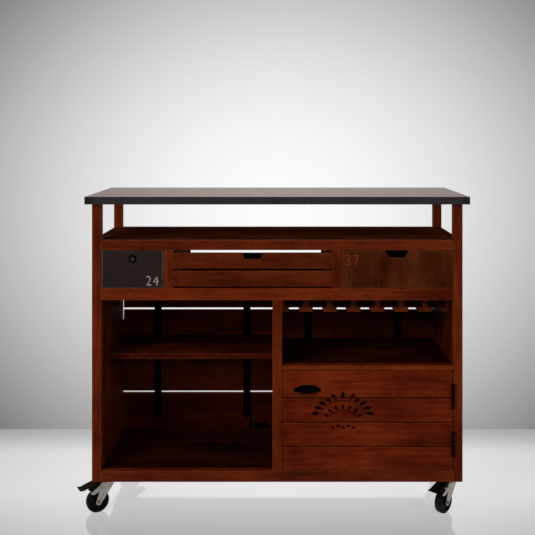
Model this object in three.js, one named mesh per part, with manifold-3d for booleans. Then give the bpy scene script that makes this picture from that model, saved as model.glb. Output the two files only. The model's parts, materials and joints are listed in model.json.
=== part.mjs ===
// Bar cart on wheels: a framed wooden cabinet under a metal-clad counter, with an open tier,
// three drawers, open bays, a stemware rack and a plank door, on four braked swivel casters.
//
// Millimetres, +Z up. +X runs along the counter to the right seen from the front, and the front
// looks towards -Y. The origin is on the floor under the middle of the counter.

import * as THREE from 'three';
import { mergeVertices } from 'three/addons/utils/BufferGeometryUtils.js';
import Module from 'manifold-3d';

const wasm = await Module();
wasm.setup();

// ---- Driving dimensions: overall -------------------------------------------------------------

const COUNTER_LENGTH = 1260;
const COUNTER_DEPTH = 420;
const COUNTER_THICKNESS = 25;
const CLADDING_SHEET = 1.5;
const COUNTER_OVERHANG = 20;

const WHEEL_DIAMETER = 75;
const CASTER_HEADROOM = 35;      // from the top of the wheel to the top of the caster plate
const BOTTOM_RAIL_HEIGHT = 37;
const LOWER_BAY_HEIGHT = 561;
const MIDDLE_RAIL_HEIGHT = 39;
const DRAWER_ROW_HEIGHT = 126;
const UPPER_RAIL_HEIGHT = 32;
const OPEN_TIER_HEIGHT = 120;

// ---- Driving dimensions: frame and panels ----------------------------------------------------

const POST_SIZE = 30;
const RAIL_DEPTH = 22;
const BOARD = 18;                // tier shelf, deck, floor, partition and divider panels
const SIDE_PANEL_THICKNESS = 20;
const BACK_BOARD_THICKNESS = 15;
const BACK_BOARD_INSET = 10;     // from the back of the posts
const BACK_BOARD_SIDE_GAP = 3;
const BACK_GAP = 9;              // open slit between two back boards
const BACK_LOWER_HEIGHT = 176.5;
const BACK_MIDDLE_HEIGHT = 301;
const BACK_CORNER_GAP = 6;       // the boards stop short at the upper left
const BACK_CORNER_HEIGHT = 38;   // of the middle board that stops short
const STILE_WIDTH = 32;
const STILE_DEPTH = 30;
const DIVIDER_STILE_WIDTH = 30;
const LEFT_DRAWER_BAY = 207;
const RIGHT_DRAWER_BAY = 370;
const BEARER_WIDTH = 100;

const LEFT_SHELF_RISE = 341;     // bay floor to the shelf's underside
const LEFT_SHELF_SETBACK = 96;
const SHELF_BACK_GAP = 4;        // room for the vertical straps on the back boards
const RIGHT_SHELF_RISE = 330;
const RIGHT_SHELF_THICKNESS = 16;

// ---- Driving dimensions: stemware rack -------------------------------------------------------

const RACK_RAILS = 6;
const RACK_BOARD = 8;
const RACK_STEM_WIDTH = 18;
const RACK_STEM_HEIGHT = 51;
const RACK_FLANGE_WIDTH = 47;
const RACK_FLANGE_THICKNESS = 16;
const RACK_FRONT_SETBACK = 70;
const RACK_BACK_SETBACK = 10;

// ---- Driving dimensions: door ----------------------------------------------------------------

const DOOR_GAP = 2;              // above and below the door
const DOOR_LATCH_GAP = 2;
const DOOR_HINGE_GAP = 3.5;
const DOOR_THICKNESS = 18;
const DOOR_PLANKS = 4;
const DOOR_TOP_PLANK = 86;
const DOOR_PLANK_GAP = 4.5;
const BRACE_THICKNESS = 15;
const BATTEN_WIDTH = 55;
const BATTEN_INSET = 42;
const BRACE_END_INSET = 14;
const DIAGONAL_INSET = 10;       // of the diagonal from the ends and edges of the battens

const HINGE_HEIGHT = 75;
const HINGE_INSET_TOP = 82;      // door edge to the middle of the hinge
const HINGE_INSET_BOTTOM = 86;
const HINGE_KNUCKLES = 5;
const HINGE_KNUCKLE_RADIUS = 5.5;
const HINGE_PIN_RADIUS = 1.8;
const HINGE_LEAF = 1.5;
const HINGE_KNUCKLE_GAP = 0.4;

const PULL_BOWL_WIDTH = 58;
const PULL_SPAN = 90;            // over both ears
const PULL_HEIGHT = 21;
const PULL_DEPTH = 17;
const PULL_SHEET = 2;
const PULL_EAR_HEIGHT = 13;
const PULL_FROM_LATCH_EDGE = 81; // to the middle of the pull
const PULL_FROM_TOP = 68;        // door top to the lower rim of the pull

// ---- Driving dimensions: drawers -------------------------------------------------------------

const DRAWER_SIDE_GAP = 1.5;
const DRAWER_TOP_GAP = 2;
const DRAWER_RUN = 0.5;          // running gap over the deck
const DRAWER_DEPTH = 340;

const SHEET = 1.5;               // metal drawer
const SHEET_FRONT_INSET = 2;
const LOCK_ROSETTE_RADIUS = 9;
const LOCK_BARREL_RADIUS = 7;
const LOCK_PLUG_RADIUS = 5.5;
const LOCK_CLEARANCE = 0.3;
const LOCK_BELOW_TOP = 27.5;
const CAM_LENGTH = 37;
const CAM_WIDTH = 9;
const CAM_THICKNESS = 2;
const CAM_BEHIND_RAIL = 2;
const KEYWAY_WIDTH = 1.5;
const KEYWAY_HEIGHT = 7;
const KEYWAY_DEPTH = 3;

const CRATE_BOTTOM = 6;
const CRATE_PLANK_HEIGHT = 51;
const CRATE_PLANK_GAP = 8;
const CRATE_PLANK = 15;
const CRATE_CORNER = 18;
const CRATE_CORNER_RISE = 4;     // over the front planks
const CRATE_SIDE = 10;
const CRATE_SIDE_HEIGHT = 106;
const CRATE_BACK_SETBACK = 18;   // from the back of the posts
const CRATE_BACK_LOWER_HEIGHT = 56.5;
const CRATE_BACK_UPPER_HEIGHT = 38.5;
const CRATE_BACK_GAP = 12;

const PLANK_FRONT = 16;
const PLANK_FRONT_GAP = 2;
const TRAY_WALL = 12;
const TRAY_HEIGHT = 98;

// ---- Driving dimensions: casters -------------------------------------------------------------

const WHEEL_WIDTH = 24;
const WHEEL_HUB_WIDTH = 28;
const WHEEL_SIDES = 32;
const CASTER_TRAIL = 30;
const CASTER_PLATE = 60;
const CASTER_PLATE_THICKNESS = 3;
const CASTER_INSET_X = 38;       // post face to the swivel axis
const CASTER_INSET_Y = 44;
const RACEWAY_RADIUS = 20;
const RACEWAY_HEIGHT = 7;
const KINGPIN_RADIUS = 4;
const KINGPIN_HEAD_RADIUS = 7.5;
const KINGPIN_HEAD = 2.5;
const FORK_SHEET = 3;
const FORK_TOP = 3.5;
const FORK_HALF_WIDTH = 18;
const FORK_DISC_RADIUS = 23;
const FORK_HALF_LENGTH = 21;
const AXLE_EYE_RADIUS = 9.5;
const AXLE_RADIUS = 4;
const AXLE_HEAD_RADIUS = 7;
const AXLE_HEAD = 2.5;
const PEDAL_PRESS = 12;          // degrees
const PEDAL_PIN_RADIUS = 2.5;
const PEDAL_PIN_BEHIND_AXLE = 8;
const PEDAL_PIN_OVER_WHEEL = 11;
const PEDAL_HALF_WIDTH = 18;
const PEDAL_SHEET = 2.4;
const PEDAL_SKIRT = 2;
const PEDAL_EAR = [11.5, 13.5];  // either side of the middle, inside the fork legs
const SHOE_HALF_WIDTH = 10.5;
const SHOE_SPAN = [4, 12, 20];   // degrees round the tread, from its top
const BRAKE_CLEARANCE = 0.6;     // shoe to tread when the pedal is down
const RUNNING_CLEARANCE = 0.3;

// direction in which each caster trails, degrees from +X
const CASTER_YAW = {
  front_left: 210,
  front_right: 225,
  rear_left: 45,
  rear_right: 30,
};

// ---- Places worked out from the driving dimensions -------------------------------------------

const halfX = COUNTER_LENGTH / 2 - COUNTER_OVERHANG;
const halfY = COUNTER_DEPTH / 2 - COUNTER_OVERHANG;
const innerX = halfX - POST_SIZE;
const postInnerY = halfY - POST_SIZE;
const railInnerY = halfY - RAIL_DEPTH;
const backOuter = halfY - BACK_BOARD_INSET;
const backInner = backOuter - BACK_BOARD_THICKNESS;

const base = WHEEL_DIAMETER + CASTER_HEADROOM;
const floorTop = base + BOTTOM_RAIL_HEIGHT;
const floorUnder = floorTop - BOARD;
const middleRailUnder = floorTop + LOWER_BAY_HEIGHT;
const deckTop = middleRailUnder + MIDDLE_RAIL_HEIGHT;
const deckUnder = deckTop - BOARD;
const upperRailUnder = deckTop + DRAWER_ROW_HEIGHT;
const tierTop = upperRailUnder + UPPER_RAIL_HEIGHT;
const tierUnder = tierTop - BOARD;
const counterUnder = tierTop + OPEN_TIER_HEIGHT;
const counterTop = counterUnder + COUNTER_THICKNESS;

const partitionX = BOARD / 2;
const stileX = STILE_WIDTH / 2;
const leftBayEnd = -innerX + LEFT_DRAWER_BAY;
const centreBayStart = leftBayEnd + DIVIDER_STILE_WIDTH;
const rightBayStart = innerX - RIGHT_DRAWER_BAY;
const centreBayEnd = rightBayStart - DIVIDER_STILE_WIDTH;
const leftShelfUnder = floorTop + LEFT_SHELF_RISE;
const rightShelfUnder = floorTop + RIGHT_SHELF_RISE;
const drawerUnder = deckTop + DRAWER_RUN;
const drawerTop = upperRailUnder - DRAWER_TOP_GAP;

// ---- Materials -------------------------------------------------------------------------------

const finish = (color, roughness, metalness = 0) =>
  new THREE.MeshStandardMaterial({ color, roughness, metalness });

const WOOD = finish(0x5a2a16, 0.5);
const DARK_WOOD = finish(0x3a1a0c, 0.5);
const CLADDING = finish(0x84786f, 0.35, 0.9);
const BLACK_IRON = finish(0x17130f, 0.45, 0.6);
const DRAWER_STEEL = finish(0x221e1b, 0.5, 0.4);
const ZINC = finish(0xb0a79e, 0.35, 0.9);
const BLACK_RUBBER = finish(0x12110f, 0.6);

// ---- Shape helpers ---------------------------------------------------------------------------

// Flat faces that meet are kept on a grid that 32-bit numbers hold exactly.
const onGrid = (value) => Math.round(value * 64) / 64;

// Moves every vertex to the place that move(x, y, z) gives.
function remap(geometry, move) {
  const position = geometry.attributes.position;
  for (let i = 0; i < position.count; i += 1) {
    position.setXYZ(i, ...move(position.getX(i), position.getY(i), position.getZ(i)));
  }
  return geometry;
}

function box(xs, ys, zs) {
  const [x, y, z] = [xs, ys, zs].map((span) => span.map(onGrid));
  return remap(new THREE.BoxGeometry(1, 1, 1), (u, v, w) => [
    u < 0 ? x[0] : x[1],
    v < 0 ? y[0] : y[1],
    w < 0 ? z[0] : z[1],
  ]);
}

// A rod along Y or Z, at a centre in the other two axes.
function rodY(radius, [x, z], ys, sides = 24) {
  const [y0, y1] = ys.map(onGrid);
  return remap(new THREE.CylinderGeometry(radius, radius, 1, sides), (u, v, w) => [
    x + u,
    v < 0 ? y0 : y1,
    z + w,
  ]);
}

function rodZ(radius, [x, y], zs, sides = 24) {
  const [z0, z1] = zs.map(onGrid);
  return remap(new THREE.CylinderGeometry(radius, radius, 1, sides), (u, v, w) => [
    x + u,
    y - w,
    v < 0 ? z0 : z1,
  ]);
}

// An outline of [x, z] points, swept along Y.
function prism(outline, ys) {
  const [y0, y1] = ys.map(onGrid);
  const shape = new THREE.Shape(outline.map(([x, z]) => new THREE.Vector2(x, z)));
  const swept = new THREE.ExtrudeGeometry(shape, { depth: 1, bevelEnabled: false });
  return remap(swept, (x, z, depth) => [x, depth < 0.5 ? y1 : y0, z]);
}

function toSolid(geometry) {
  const bare = geometry.clone();
  bare.deleteAttribute('normal');
  bare.deleteAttribute('uv');
  const merged = mergeVertices(bare);
  return new wasm.Manifold(new wasm.Mesh({
    numProp: 3,
    vertProperties: new Float32Array(merged.attributes.position.array),
    triVerts: new Uint32Array(merged.index.array),
  }));
}

function toGeometry(solid) {
  const { vertProperties, triVerts } = solid.getMesh();
  const geometry = new THREE.BufferGeometry();
  geometry.setAttribute('position', new THREE.BufferAttribute(new Float32Array(vertProperties), 3));
  geometry.setIndex(new THREE.BufferAttribute(new Uint32Array(triVerts), 1));
  geometry.computeVertexNormals();
  return geometry;
}

// Joins the first list of shapes and cuts the second list out.
function shaped(added, removed = []) {
  let solid = toSolid(added[0]);
  for (const geometry of added.slice(1)) {
    solid = solid.add(toSolid(geometry));
  }
  for (const geometry of removed) {
    solid = solid.subtract(toSolid(geometry));
  }
  return toGeometry(solid);
}

function addTo(group, name, geometry, material) {
  const mesh = new THREE.Mesh(geometry, material);
  mesh.name = name;
  group.add(mesh);
  return mesh;
}

const cart = new THREE.Group();
const add = (name, geometry, material = WOOD) => addTo(cart, name, geometry, material);

const mirrored = ([low, high], side) => (side > 0 ? [low, high] : [-high, -low]);
const SIDES = [['left', -1], ['right', 1]];
const ENDS = [['front', -1], ['rear', 1]];

// ---- Counter ---------------------------------------------------------------------------------

function makeCounter() {
  const x = COUNTER_LENGTH / 2;
  const y = COUNTER_DEPTH / 2;
  const coreX = [CLADDING_SHEET - x, x - CLADDING_SHEET];
  const coreY = [CLADDING_SHEET - y, y - CLADDING_SHEET];
  const coreZ = [counterUnder, counterTop - CLADDING_SHEET];
  add('counter_top_core', box(coreX, coreY, coreZ));
  const outside = box([-x, x], [-y, y], [counterUnder, counterTop]);
  const skin = shaped([outside], [box(coreX, coreY, coreZ)]);
  add('counter_top_cladding', skin, CLADDING);
}

// ---- Frame -----------------------------------------------------------------------------------

function makeFrame() {
  for (const [end, endSign] of ENDS) {
    for (const [side, sideSign] of SIDES) {
      const xs = mirrored([innerX, halfX], sideSign);
      const ys = mirrored([postInnerY, halfY], endSign);
      add(`post_${end}_${side}`, box(xs, ys, [base, counterUnder]));
    }
  }
  const railX = [-innerX, innerX];
  const frontY = [-halfY, -railInnerY];
  add('front_upper_rail', box(railX, frontY, [upperRailUnder, tierTop]));
  add('front_middle_rail', box(railX, frontY, [middleRailUnder, deckTop]));
  add('front_bottom_rail', box(railX, frontY, [base, floorTop]));
  add('rear_upper_rail', box(railX, [railInnerY, halfY], [upperRailUnder, tierTop]));
}

function makePanels() {
  for (const [side, sign] of SIDES) {
    const panelX = mirrored([innerX, innerX + SIDE_PANEL_THICKNESS], sign);
    add(`${side}_side_panel`, box(panelX, [-postInnerY, postInnerY], [base, tierUnder]));
    const bearerX = mirrored([innerX - BEARER_WIDTH, innerX], sign);
    add(`caster_bearer_${side}`, box(bearerX, [-railInnerY, backInner], [base, floorUnder]));
  }
  const tierZ = [tierUnder, tierTop];
  add('tier_shelf', shaped([
    box([-innerX, innerX], [-railInnerY, railInnerY], tierZ),
    box([-halfX, halfX], [-postInnerY, postInnerY], tierZ),
  ]));
  add('floor_panel', box([-innerX, innerX], [-railInnerY, backInner], [floorUnder, floorTop]));
  add('drawer_deck', box([-innerX, innerX], [-railInnerY, backOuter], [deckUnder, deckTop]));

  const lowerTop = base + BACK_LOWER_HEIGHT;
  const middleUnder = lowerTop + BACK_GAP;
  const middleTop = middleUnder + BACK_MIDDLE_HEIGHT;
  const backX = [BACK_BOARD_SIDE_GAP - innerX, innerX - BACK_BOARD_SIDE_GAP];
  const cornerX = BACK_CORNER_GAP - innerX;
  const backY = [backInner, backOuter];
  add('back_board_lower', box(backX, backY, [base, lowerTop]));
  add('back_board_middle', shaped([
    box(backX, backY, [middleUnder, middleTop - BACK_CORNER_HEIGHT]),
    box([cornerX, backX[1]], backY, [middleTop - BACK_CORNER_HEIGHT, middleTop]),
  ]));
  add('back_board_upper', box([cornerX, backX[1]], backY, [middleTop + BACK_GAP, deckUnder]));
}

function makePartitions() {
  const stileBack = -halfY + STILE_DEPTH;
  add('centre_partition', shaped([
    box([-partitionX, partitionX], [stileBack, backInner], [floorTop, deckUnder]),
    box([-stileX, stileX], [-halfY, stileBack], [floorTop, middleRailUnder]),
  ]));
  for (const [side, start] of [['left', leftBayEnd], ['right', centreBayEnd]]) {
    const middle = start + DIVIDER_STILE_WIDTH / 2;
    const panelX = [middle - BOARD / 2, middle + BOARD / 2];
    add(`drawer_divider_${side}`, shaped([
      box(panelX, [stileBack, backInner], [deckTop, tierUnder]),
      box([start, start + DIVIDER_STILE_WIDTH], [-halfY, stileBack], [deckTop, upperRailUnder]),
    ]));
  }
}

function makeShelves() {
  const shelfBack = backInner - SHELF_BACK_GAP;
  add('left_shelf', box(
    [-innerX, -partitionX],
    [-halfY + LEFT_SHELF_SETBACK, shelfBack],
    [leftShelfUnder, leftShelfUnder + BOARD],
  ));
  const z = [rightShelfUnder, rightShelfUnder + RIGHT_SHELF_THICKNESS];
  const stileBack = -halfY + STILE_DEPTH;
  add('right_shelf', shaped([
    box([partitionX, innerX], [stileBack, shelfBack], z),
    box([stileX, innerX], [-halfY, stileBack], z),
  ]));
}

// ---- Stemware rack: T rails hung from a board, with half rails along both walls -----------------

function makeGlassRack() {
  const boardUnder = deckUnder - RACK_BOARD;
  const stemUnder = boardUnder - RACK_STEM_HEIGHT;
  const flangeZ = [stemUnder - RACK_FLANGE_THICKNESS, stemUnder];
  const ys = [-halfY + RACK_FRONT_SETBACK, backInner - RACK_BACK_SETBACK];
  const pitch = (innerX - stileX) / (RACK_RAILS + 1);
  const parts = [box([partitionX, innerX], ys, [boardUnder, deckUnder])];
  for (let i = 0; i <= RACK_RAILS + 1; i += 1) {
    const middle = stileX + i * pitch;
    const spanOf = (width) => [
      i === 0 ? partitionX : middle - width / 2,
      Math.min(middle + width / 2, innerX),
    ];
    parts.push(box(spanOf(RACK_STEM_WIDTH), ys, [stemUnder, boardUnder]));
    parts.push(box(spanOf(RACK_FLANGE_WIDTH), ys, flangeZ));
  }
  add('glass_rack', shaped(parts));
}

// ---- Plank door with its hinges and pull -------------------------------------------------------

const doorLeft = stileX + DOOR_LATCH_GAP;
const doorRight = innerX - DOOR_HINGE_GAP;
const doorUnder = floorTop + DOOR_GAP;
const doorTop = rightShelfUnder - DOOR_GAP;
const doorFront = -halfY;
const doorBack = doorFront + DOOR_THICKNESS;

function makeDoor() {
  const gaps = (DOOR_PLANKS - 1) * DOOR_PLANK_GAP;
  const lowPlank = (doorTop - doorUnder - DOOR_TOP_PLANK - gaps) / (DOOR_PLANKS - 1);
  for (let i = 0; i < DOOR_PLANKS; i += 1) {
    const under = doorUnder + i * (lowPlank + DOOR_PLANK_GAP);
    const top = i === DOOR_PLANKS - 1 ? doorTop : under + lowPlank;
    add(`door_plank_${i + 1}`, box([doorLeft, doorRight], [doorFront, doorBack], [under, top]));
  }

  const braceY = [doorBack, doorBack + BRACE_THICKNESS];
  const braceZ = [doorUnder + BRACE_END_INSET, doorTop - BRACE_END_INSET];
  const leftBatten = [doorLeft + BATTEN_INSET, doorLeft + BATTEN_INSET + BATTEN_WIDTH];
  const rightBatten = [doorRight - BATTEN_INSET - BATTEN_WIDTH, doorRight - BATTEN_INSET];
  const [highX, highZ] = [leftBatten[0] + DIAGONAL_INSET, braceZ[1] - DIAGONAL_INSET];
  const [lowX, lowZ] = [rightBatten[1] - DIAGONAL_INSET, braceZ[0] + DIAGONAL_INSET];
  const diagonal = [
    [highX, highZ],
    [highX, highZ - BATTEN_WIDTH],
    [lowX, lowZ],
    [lowX, lowZ + BATTEN_WIDTH],
  ];
  add('door_brace', shaped([
    box(leftBatten, braceY, braceZ),
    box(rightBatten, braceY, braceZ),
    prism(diagonal, braceY),
  ]));
}

function makeHinge(name, middle) {
  const axis = [(doorRight + innerX) / 2, doorFront - HINGE_KNUCKLE_RADIUS];
  const under = middle - HINGE_HEIGHT / 2;
  const height = HINGE_HEIGHT / HINGE_KNUCKLES;
  const plateY = [doorFront + HINGE_KNUCKLE_GAP, doorBack];
  const webY = [axis[1], plateY[0]];
  const zs = [under, under + HINGE_HEIGHT];
  const leafX = {
    door: [doorRight, doorRight + HINGE_LEAF],
    frame: [innerX - HINGE_LEAF, innerX],
  };
  const parts = {
    door: [box(leafX.door, plateY, zs)],
    frame: [
      box(leafX.frame, plateY, zs),
      rodZ(HINGE_PIN_RADIUS, axis, zs, 16),
    ],
  };
  for (let i = 0; i < HINGE_KNUCKLES; i += 1) {
    const leaf = i % 2 ? 'door' : 'frame';
    const z = [
      under + i * height + HINGE_KNUCKLE_GAP / 2,
      under + (i + 1) * height - HINGE_KNUCKLE_GAP / 2,
    ];
    parts[leaf].push(rodZ(HINGE_KNUCKLE_RADIUS, axis, z));
    parts[leaf].push(box(leafX[leaf], webY, z));
  }
  const bore = rodZ(HINGE_PIN_RADIUS + RUNNING_CLEARANCE, axis, zs);
  add(`${name}_door_leaf`, shaped(parts.door, [bore]), BLACK_IRON);
  add(`${name}_frame_leaf`, shaped(parts.frame), BLACK_IRON);
}

// A bin pull: a quarter-round bowl, open below and behind, with an ear at each end.
function makeCupPull() {
  const x = doorLeft + PULL_FROM_LATCH_EDGE;
  const z = doorTop - PULL_FROM_TOP;
  const bowl = (inset) => remap(new THREE.SphereGeometry(1, 28, 18), (u, v, w) => [
    x + u * (PULL_BOWL_WIDTH / 2 - inset),
    doorFront + v * (PULL_DEPTH - inset),
    z + w * (PULL_HEIGHT - inset),
  ]);
  const reach = PULL_SPAN;
  const acrossX = [x - reach, x + reach];
  const behind = box(acrossX, [doorFront, doorFront + reach], [z - reach, z + reach]);
  const below = box(acrossX, [doorFront - reach, doorFront], [z - reach, z]);
  const earOutline = (sign) => {
    const corner = PULL_EAR_HEIGHT / 2;
    const inner = x + sign * (PULL_BOWL_WIDTH / 2 - PULL_SHEET);
    const centre = x + sign * (PULL_SPAN / 2 - corner);
    const points = [[inner, z], [centre, z]];
    for (let step = 1; step < 8; step += 1) {
      const angle = -Math.PI / 2 + (Math.PI * step) / 8;
      points.push([centre + sign * corner * Math.cos(angle), z + corner + corner * Math.sin(angle)]);
    }
    points.push([centre, z + PULL_EAR_HEIGHT]);
    points.push([x + sign * (PULL_BOWL_WIDTH / 2 - 3 * PULL_SHEET), z + PULL_EAR_HEIGHT]);
    return points;
  };
  const shell = shaped([bowl(0)], [bowl(PULL_SHEET), behind, below]);
  const earY = [doorFront - PULL_SHEET, doorFront];
  const ears = [prism(earOutline(-1), earY), prism(earOutline(1), earY)];
  add('cup_pull', shaped([shell, ...ears]), BLACK_IRON);
}

// ---- Metal drawer with a cam lock ----------------------------------------------------------------

const metalX = [-innerX + DRAWER_SIDE_GAP, leftBayEnd - DRAWER_SIDE_GAP];
const lockAxis = [(metalX[0] + metalX[1]) / 2, drawerTop - LOCK_BELOW_TOP];

function makeMetalDrawer() {
  const drawerBack = -halfY + DRAWER_DEPTH;
  const sheetFront = -halfY + SHEET_FRONT_INSET;
  const insideX = [metalX[0] + SHEET, metalX[1] - SHEET];
  const insideZ = [drawerUnder + SHEET, drawerTop + SHEET];
  add('metal_drawer_box', shaped(
    [box(metalX, [-halfY, drawerBack], [drawerUnder, drawerTop])],
    [
      box(insideX, [sheetFront + SHEET, drawerBack - SHEET], insideZ),
      box(insideX, [-halfY - SHEET, sheetFront], insideZ),
      rodY(LOCK_BARREL_RADIUS + LOCK_CLEARANCE, lockAxis, [-halfY, sheetFront + 2 * SHEET]),
    ],
  ), DRAWER_STEEL);

  // the cam turns behind the front upper rail
  const camFront = -railInnerY + CAM_BEHIND_RAIL;
  const barrelBack = camFront - LOCK_CLEARANCE;
  add('lock_housing', shaped(
    [
      rodY(LOCK_ROSETTE_RADIUS, lockAxis, [-halfY, sheetFront], 32),
      rodY(LOCK_BARREL_RADIUS, lockAxis, [-halfY, barrelBack]),
    ],
    [rodY(LOCK_PLUG_RADIUS + LOCK_CLEARANCE, lockAxis, [-halfY - 1, barrelBack + 1])],
  ), ZINC);
  const [x, z] = lockAxis;
  const camY = [camFront, camFront + CAM_THICKNESS];
  const keyway = box(
    [x - KEYWAY_WIDTH / 2, x + KEYWAY_WIDTH / 2],
    [-halfY - 1, -halfY + KEYWAY_DEPTH],
    [z - KEYWAY_HEIGHT / 2, z + KEYWAY_HEIGHT / 2],
  );
  add('lock_cylinder', shaped(
    [
      rodY(LOCK_PLUG_RADIUS, lockAxis, [-halfY + LOCK_CLEARANCE, camY[1]]),
      box([x, x + CAM_LENGTH], camY, [z - CAM_WIDTH / 2, z + CAM_WIDTH / 2]),
    ],
    [keyway],
  ), ZINC);
}

// ---- Finger notch in the top edge of a drawer front ------------------------------------------------

function notch(middle, top, topWidth, bottomWidth, depth, ys) {
  const lift = 1;
  const flare = ((topWidth - bottomWidth) / 2 / depth) * lift;
  return prism([
    [middle - bottomWidth / 2, top - depth],
    [middle + bottomWidth / 2, top - depth],
    [middle + topWidth / 2 + flare, top + lift],
    [middle - topWidth / 2 - flare, top + lift],
  ], [ys[0] - 1, ys[1] + 1]);
}

// ---- Crate drawer: two front planks on a slatted crate -------------------------------------------

const CRATE_NOTCH = { top: 67, bottom: 53, depth: 21 };

function makeCrateDrawer() {
  const [x0, x1] = [centreBayStart + DRAWER_SIDE_GAP, centreBayEnd - DRAWER_SIDE_GAP];
  const frontY = [-halfY, -halfY + CRATE_PLANK];
  const backY = [halfY - CRATE_BACK_SETBACK - CRATE_PLANK, halfY - CRATE_BACK_SETBACK];
  const bottomTop = drawerUnder + CRATE_BOTTOM;
  const lowerTop = bottomTop + CRATE_PLANK_HEIGHT;
  const upperUnder = lowerTop + CRATE_PLANK_GAP;
  const upperTop = upperUnder + CRATE_PLANK_HEIGHT;
  add('crate_front_plank_lower', box([x0, x1], frontY, [bottomTop, lowerTop]));
  const middle = (x0 + x1) / 2;
  add('crate_front_plank_upper', shaped(
    [box([x0, x1], frontY, [upperUnder, upperTop])],
    [notch(middle, upperTop, CRATE_NOTCH.top, CRATE_NOTCH.bottom, CRATE_NOTCH.depth, frontY)],
  ));

  const backLowerTop = bottomTop + CRATE_BACK_LOWER_HEIGHT;
  const backUpperUnder = backLowerTop + CRATE_BACK_GAP;
  const cornerTop = upperTop + CRATE_CORNER_RISE;
  const sideTop = bottomTop + CRATE_SIDE_HEIGHT;
  const parts = [
    box([x0, x1], [frontY[1], backY[1]], [drawerUnder, bottomTop]),
    box([x0, x1], backY, [bottomTop, backLowerTop]),
    box([x0, x1], backY, [backUpperUnder, backUpperUnder + CRATE_BACK_UPPER_HEIGHT]),
  ];
  for (const [edge, inward] of [[x0, 1], [x1, -1]]) {
    const cornerX = [edge, edge + inward * CRATE_CORNER].sort((a, b) => a - b);
    const sideX = [edge, edge + inward * CRATE_SIDE].sort((a, b) => a - b);
    parts.push(box(cornerX, [frontY[1], frontY[1] + CRATE_CORNER], [bottomTop, cornerTop]));
    parts.push(box(cornerX, [backY[0] - CRATE_CORNER, backY[0]], [bottomTop, cornerTop]));
    parts.push(box(sideX, [frontY[1], backY[0]], [bottomTop, sideTop]));
  }
  add('crate_tray', shaped(parts));
}

// ---- Plank drawer: one vertical-grained front on a plain tray --------------------------------------

const PLANK_NOTCH = { top: 75, bottom: 46, depth: 25 };

function makePlankDrawer() {
  const frontX = [rightBayStart + PLANK_FRONT_GAP, innerX - PLANK_FRONT_GAP];
  const frontY = [-halfY, -halfY + PLANK_FRONT];
  const middle = (frontX[0] + frontX[1]) / 2;
  add('plank_drawer_front', shaped(
    [box(frontX, frontY, [deckTop + PLANK_FRONT_GAP, drawerTop])],
    [notch(middle, drawerTop, PLANK_NOTCH.top, PLANK_NOTCH.bottom, PLANK_NOTCH.depth, frontY)],
  ), DARK_WOOD);
  const trayX = [frontX[0] + PLANK_FRONT_GAP, frontX[1] - PLANK_FRONT_GAP];
  const trayY = [frontY[1], -halfY + DRAWER_DEPTH];
  const trayZ = [drawerUnder, drawerUnder + TRAY_HEIGHT];
  add('plank_drawer_tray', shaped(
    [box(trayX, trayY, trayZ)],
    [box(
      [trayX[0] + TRAY_WALL, trayX[1] - TRAY_WALL],
      [trayY[0] + TRAY_WALL, trayY[1] - TRAY_WALL],
      [drawerUnder + CRATE_BOTTOM, trayZ[1] + 1],
    )],
  ));
}

// ---- Casters: local X points the way the caster trails, local Z is the swivel axis ----------------

const wheelRadius = WHEEL_DIAMETER / 2;
const plateUnder = base - CASTER_PLATE_THICKNESS;
const raceUnder = plateUnder - RACEWAY_HEIGHT;
const forkTop = raceUnder - RUNNING_CLEARANCE;
const forkUnder = forkTop - FORK_TOP;
const pedalPivot = [CASTER_TRAIL - PEDAL_PIN_BEHIND_AXLE, WHEEL_DIAMETER + PEDAL_PIN_OVER_WHEEL];

function makeCasterPlate(name, x, y) {
  const half = CASTER_PLATE / 2;
  const headTop = forkUnder - RUNNING_CLEARANCE;
  add(`${name}_plate`, shaped([
    box([x - half, x + half], [y - half, y + half], [plateUnder, base]),
    rodZ(RACEWAY_RADIUS, [x, y], [raceUnder, plateUnder + 1], 32),
    rodZ(KINGPIN_RADIUS, [x, y], [headTop - 1, plateUnder + 1], 16),
    rodZ(KINGPIN_HEAD_RADIUS, [x, y], [headTop - KINGPIN_HEAD, headTop], 16),
  ]), ZINC);
}

// Outline of one fork leg: it tapers to the axle, and a wing reaches out over the wheel.
function legOutline() {
  const points = [[-FORK_HALF_LENGTH, forkTop], [1 - FORK_HALF_LENGTH, forkTop - 10]];
  for (let step = 0; step <= 8; step += 1) {
    const angle = Math.PI * (1.12 + (0.92 * step) / 8);
    points.push([
      CASTER_TRAIL + AXLE_EYE_RADIUS * Math.cos(angle),
      wheelRadius + AXLE_EYE_RADIUS * Math.sin(angle),
    ]);
  }
  points.push(
    [CASTER_TRAIL - 2, WHEEL_DIAMETER - 3],
    [CASTER_TRAIL + 18, WHEEL_DIAMETER - 10],
    [CASTER_TRAIL + 27, WHEEL_DIAMETER - 6],
    [CASTER_TRAIL + 26, WHEEL_DIAMETER - 2],
    [CASTER_TRAIL - 6, WHEEL_DIAMETER + 19],
    [FORK_HALF_LENGTH, forkTop - 2],
    [FORK_HALF_LENGTH, forkTop],
  );
  return points;
}

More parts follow.
